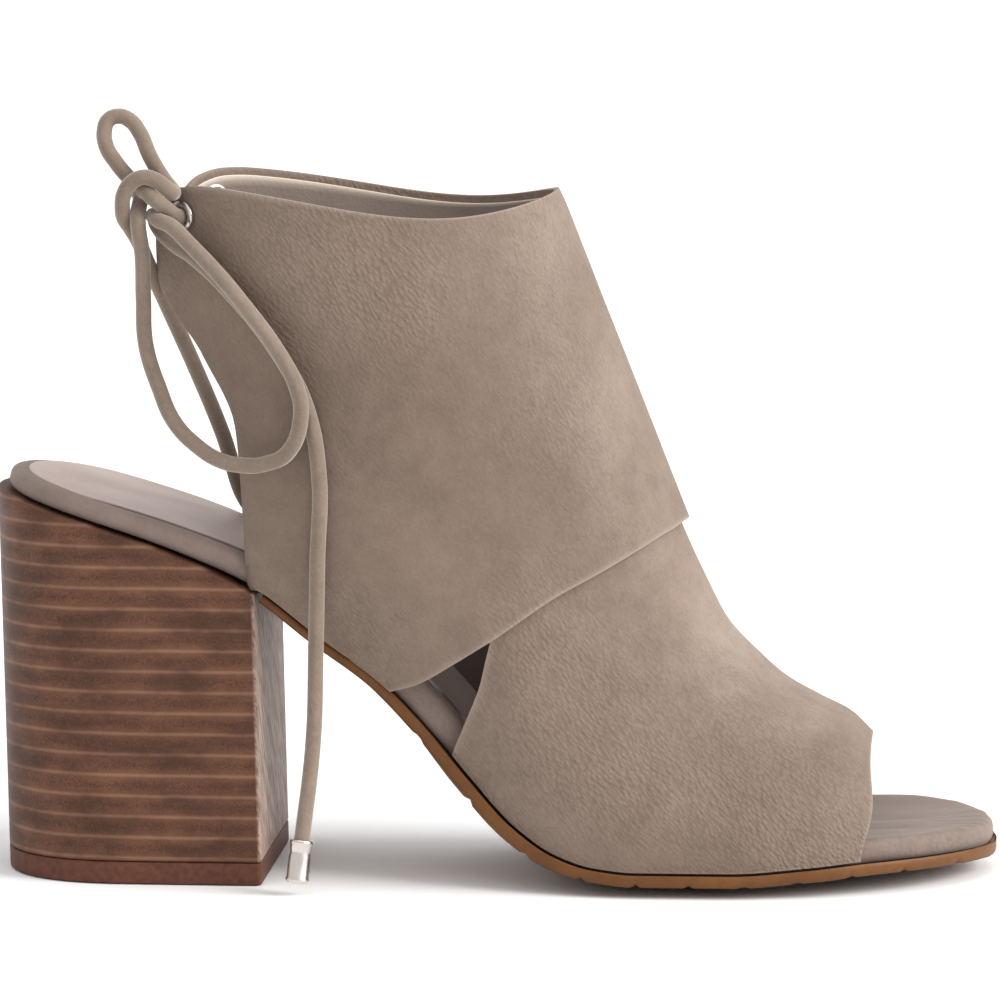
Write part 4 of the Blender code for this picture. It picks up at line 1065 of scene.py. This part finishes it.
def mark_rubs_and_painted_light(piece):
    mesh = piece.data
    flat = np.empty(len(mesh.vertices) * 3)
    mesh.vertices.foreach_get("co", flat)
    flat = flat.reshape(-1, 3)
    level = np.zeros(len(flat))
    for marked_spot in RUBS_AND_PAINTED_LIGHT:
        reach = ((flat[:, 0] - marked_spot.x) / marked_spot.reach_x) ** 2 + ((flat[:, 2] - marked_spot.z) / marked_spot.reach_z) ** 2
        level += marked_spot.strength * np.exp(-reach)
    layer = mesh.attributes.new("rub_and_painted_light", "FLOAT", "POINT")
    layer.data.foreach_set("value", level)


# Vamp
# Front of the upper in taupe nubuck, lined with pale leather, its edges cut raw at the toe
# opening and folded at the cut-out; it is lasted in under the insole.
lining_leather = bpy.data.materials.new("lining_leather")
lining_leather.use_nodes = True
tree = lining_leather.node_tree
shader = tree.nodes["Principled BSDF"]
place = tree.nodes.new("ShaderNodeTexCoord").outputs["Object"]
cloud = add_node(tree, "TexNoise", [("Vector", place)], scale=40.0, detail=3.0)
fine = add_node(tree, "TexVoronoi", [("Vector", place)], scale=1300.0)
colour = blend_colours(tree, spread(tree, cloud.outputs["Fac"], 0.3, 0.7), (0.170, 0.128, 0.104), (0.240, 0.185, 0.153))
edge = tree.nodes.new("ShaderNodeAttribute")
edge.attribute_name = "edge"
colour = blend_colours(tree, maths(tree, "MULTIPLY", edge.outputs["Fac"], 0.9), colour, (0.780, 0.660, 0.545))
tree.links.new(colour, shader.inputs["Base Color"])
shader.inputs["Roughness"].default_value = 0.62
bump = tree.nodes.new("ShaderNodeBump")
bump.inputs["Distance"].default_value = 0.00005
tree.links.new(fine.outputs["Distance"], bump.inputs["Height"])
tree.links.new(bump.outputs["Normal"], shader.inputs["Normal"])

TOE_EDGE = (EdgeRow(-1.0, 0.0), EdgeRow(1.0, 0.0))
vamp = upper_panel("vamp_leather", TOE_EDGE, VAMP_BACK_ROWS, (260, 150), -0.0010, 0.0010, upper_leather)
mark_rubs_and_painted_light(vamp)
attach(vamp, "root")
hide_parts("vamp")
vamp_lining = upper_panel(
    "vamp_lining", TOE_EDGE, VAMP_BACK_ROWS, (160, 80), -0.0016, 0.00055, lining_leather, (0.0016, 0.0016, 0.0)
)
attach(vamp_lining, "root")


# Shaft
# Ankle part in the same nubuck, wrapped over the vamp with folded edges, open behind the
# heel. Its lining stops just below the collar, where a cream edge shows.
EYELET_SECTION = 15.63
EYELET_ACROSS = 0.915
BORE = CORD / 2 + 0.0004
barrel = BORE + 0.0004


def eyelet_place(side):
    step = 0.02
    across = side * EYELET_ACROSS
    spots = [(EYELET_SECTION, across), (EYELET_SECTION + step, across), (EYELET_SECTION - step, across)]
    spots += [(EYELET_SECTION, across + step), (EYELET_SECTION, across - step)]
    centre, above, below, after, before = (Vector(upper_points(*spot)) for spot in spots)
    out = (above - below).cross(after - before).normalized()
    if out.y * side < 0:
        out.negate()
    return centre + out * (GAP + 0.0009), out


# A round hole is punched through a panel where each eyelet goes
def punch_eyelet_holes(piece):
    for side in (-1, 1):
        centre, out = eyelet_place(side)
        bpy.ops.mesh.primitive_cylinder_add(vertices=48, radius=barrel + 0.00008, depth=0.008, location=centre)
        punch = bpy.context.object
        punch.rotation_euler = out.to_track_quat("Z", "Y").to_euler()
        hole = piece.modifiers.new("hole", "BOOLEAN")
        hole.operation = "DIFFERENCE"
        hole.object = punch
        hole.solver = "EXACT"
        punch.select_set(False)
        bpy.context.view_layer.objects.active = piece
        bpy.ops.object.modifier_apply(modifier="hole")
        bpy.data.objects.remove(punch)


shaft = upper_panel("shaft_leather", SHAFT_FRONT_ROWS, COLLAR_ROWS, (250, 170), 0.0008, 0.0013, upper_leather)
mark_rubs_and_painted_light(shaft)
punch_eyelet_holes(shaft)
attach(shaft, "root")
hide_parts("shaft")
shaft_lining = upper_panel(
    "shaft_lining", SHAFT_FRONT_ROWS, COLLAR_ROWS, (160, 100), 0.0003, 0.00045, lining_leather, (0.0016, 0.0017, 0.022)
)
punch_eyelet_holes(shaft_lining)
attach(shaft_lining, "root")


# Eyelets
# Small turned metal rings through the shaft's two back corners, with a rounded lip outside
# and inside.
nickel = bpy.data.materials.new("nickel")
nickel.use_nodes = True
tree = nickel.node_tree
shader = tree.nodes["Principled BSDF"]
place = tree.nodes.new("ShaderNodeTexCoord").outputs["Object"]
smear = add_node(tree, "TexNoise", [("Vector", place)], scale=240.0, detail=3.0)
tree.links.new(spread(tree, smear.outputs["Fac"], 0.3, 0.7, 0.18, 0.34), shader.inputs["Roughness"])
shader.inputs["Base Color"].default_value = (0.66, 0.60, 0.565, 1.0)
shader.inputs["Metallic"].default_value = 1.0


# A turned part: a closed profile of (radius, height) spun round an axis
def turned_piece(name, profile, steps, origin, axis, material):
    axis = axis.normalized()
    first = axis.orthogonal().normalized()
    second = axis.cross(first)
    radii = np.array([row[0] for row in profile])
    heights = np.array([row[1] for row in profile])

    def place_turned(u, v):
        angle = u * 2 * pi / steps
        r = radii[v]
        points = np.array(origin)[None, :] + np.outer(heights[v], np.array(axis))
        points += np.outer(r * np.cos(angle), np.array(first)) + np.outer(r * np.sin(angle), np.array(second))
        return points
    return wrapped_piece(name, steps, len(profile), place_turned, material)


lip = barrel + 0.0009
EYELET_PROFILE = [(BORE, -0.0018), (BORE, 0.0018), (BORE + 0.0003, 0.0020), (barrel + 0.0004, 0.0020)]
EYELET_PROFILE += [(lip - 0.0001, 0.0018), (lip, 0.0016), (lip, 0.0013), (barrel, 0.0012), (barrel, -0.0012)]
EYELET_PROFILE += [(lip, -0.0013), (lip, -0.0016), (lip - 0.0001, -0.0018), (barrel + 0.0004, -0.0020)]
EYELET_PROFILE += [(BORE + 0.0003, -0.0020), (BORE, -0.0018)]
for side, name in ((-1, "outer"), (1, "inner")):
    centre, out = eyelet_place(side)
    eyelet = turned_piece("eyelet_ring_" + name, EYELET_PROFILE, 48, centre, out, nickel)
    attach(eyelet, "root")
    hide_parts("eyelet_" + name)


# Tips
# A metal sleeve is crimped on each end of the cord, with a bead rolled at its mouth.
TIP_LENGTH = 0.0096
TIP_RADIUS = 0.00265
TIP_PROFILE = [(0.0, 0.0), (0.0017, 0.0), (0.00235, 0.0001), (TIP_RADIUS, 0.0005), (TIP_RADIUS, 0.0010)]
TIP_PROFILE += [(0.0025, 0.0013), (0.0025, 0.0060), (0.00235, 0.0066), (0.00235, 0.0071), (0.0025, 0.0077)]
TIP_PROFILE += [(0.0025, 0.0086), (TIP_RADIUS, 0.0089), (TIP_RADIUS, 0.0093), (0.0024, 0.0096), (0.0019, 0.0096)]
TIP_PROFILE += [(0.0018, 0.0090), (0.0, 0.0090)]
for name, stops in (("outer", OUTER_CORD), ("inner", INNER_CORD)):
    end, before = Vector(stops[-1]) / 1000, Vector(stops[-2]) / 1000
    back_way = (before - end).normalized()
    tip = turned_piece("cord_tip_" + name, TIP_PROFILE, 48, end - back_way * (TIP_LENGTH - 0.0015), back_way, nickel)
    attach(tip, "root")
    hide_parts("tip_" + name)


# Cords in the eyelets and the bow
cord_leather = napped_leather(
    "taupe_cord",
    dark=(0.150, 0.110, 0.083),
    base=(0.255, 0.194, 0.150),
    pale=(0.420, 0.340, 0.280),
    edge=(0.235, 0.178, 0.145),
    wrinkle=0.0,
    depth=0.00045,
    sheen=0.9,
)
for name, side, stops, nodes in (
    ("outer", -1, OUTER_CORD, ("tie_outer", "knot", "loop_down", "tail_outer")),
    ("inner", 1, INNER_CORD, ("tie_inner", "loop_up", "tail_inner")),
):
    centre, out = eyelet_place(side)
    points = [centre - out * 0.0014, centre + out * 0.0021] + [Vector(stop) / 1000 for stop in stops]
    bpy.ops.curve.primitive_bezier_curve_add(radius=0.01)
    cord = bpy.context.object
    cord.name = "cord_" + name
    cord.data.splines[0].bezier_points.add(len(points) - 2)
    for knot, point in zip(cord.data.splines[0].bezier_points, points):
        knot.co = point
    for knot in cord.data.splines[0].bezier_points:
        knot.handle_left_type = "AUTO"
        knot.handle_right_type = "AUTO"
    cord.data.resolution_u = 12
    cord.data.bevel_depth = CORD / 2
    cord.data.bevel_resolution = 8
    cord.data.use_fill_caps = True
    cord.data.materials.append(cord_leather)
    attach(cord, "root")
    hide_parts(*nodes)
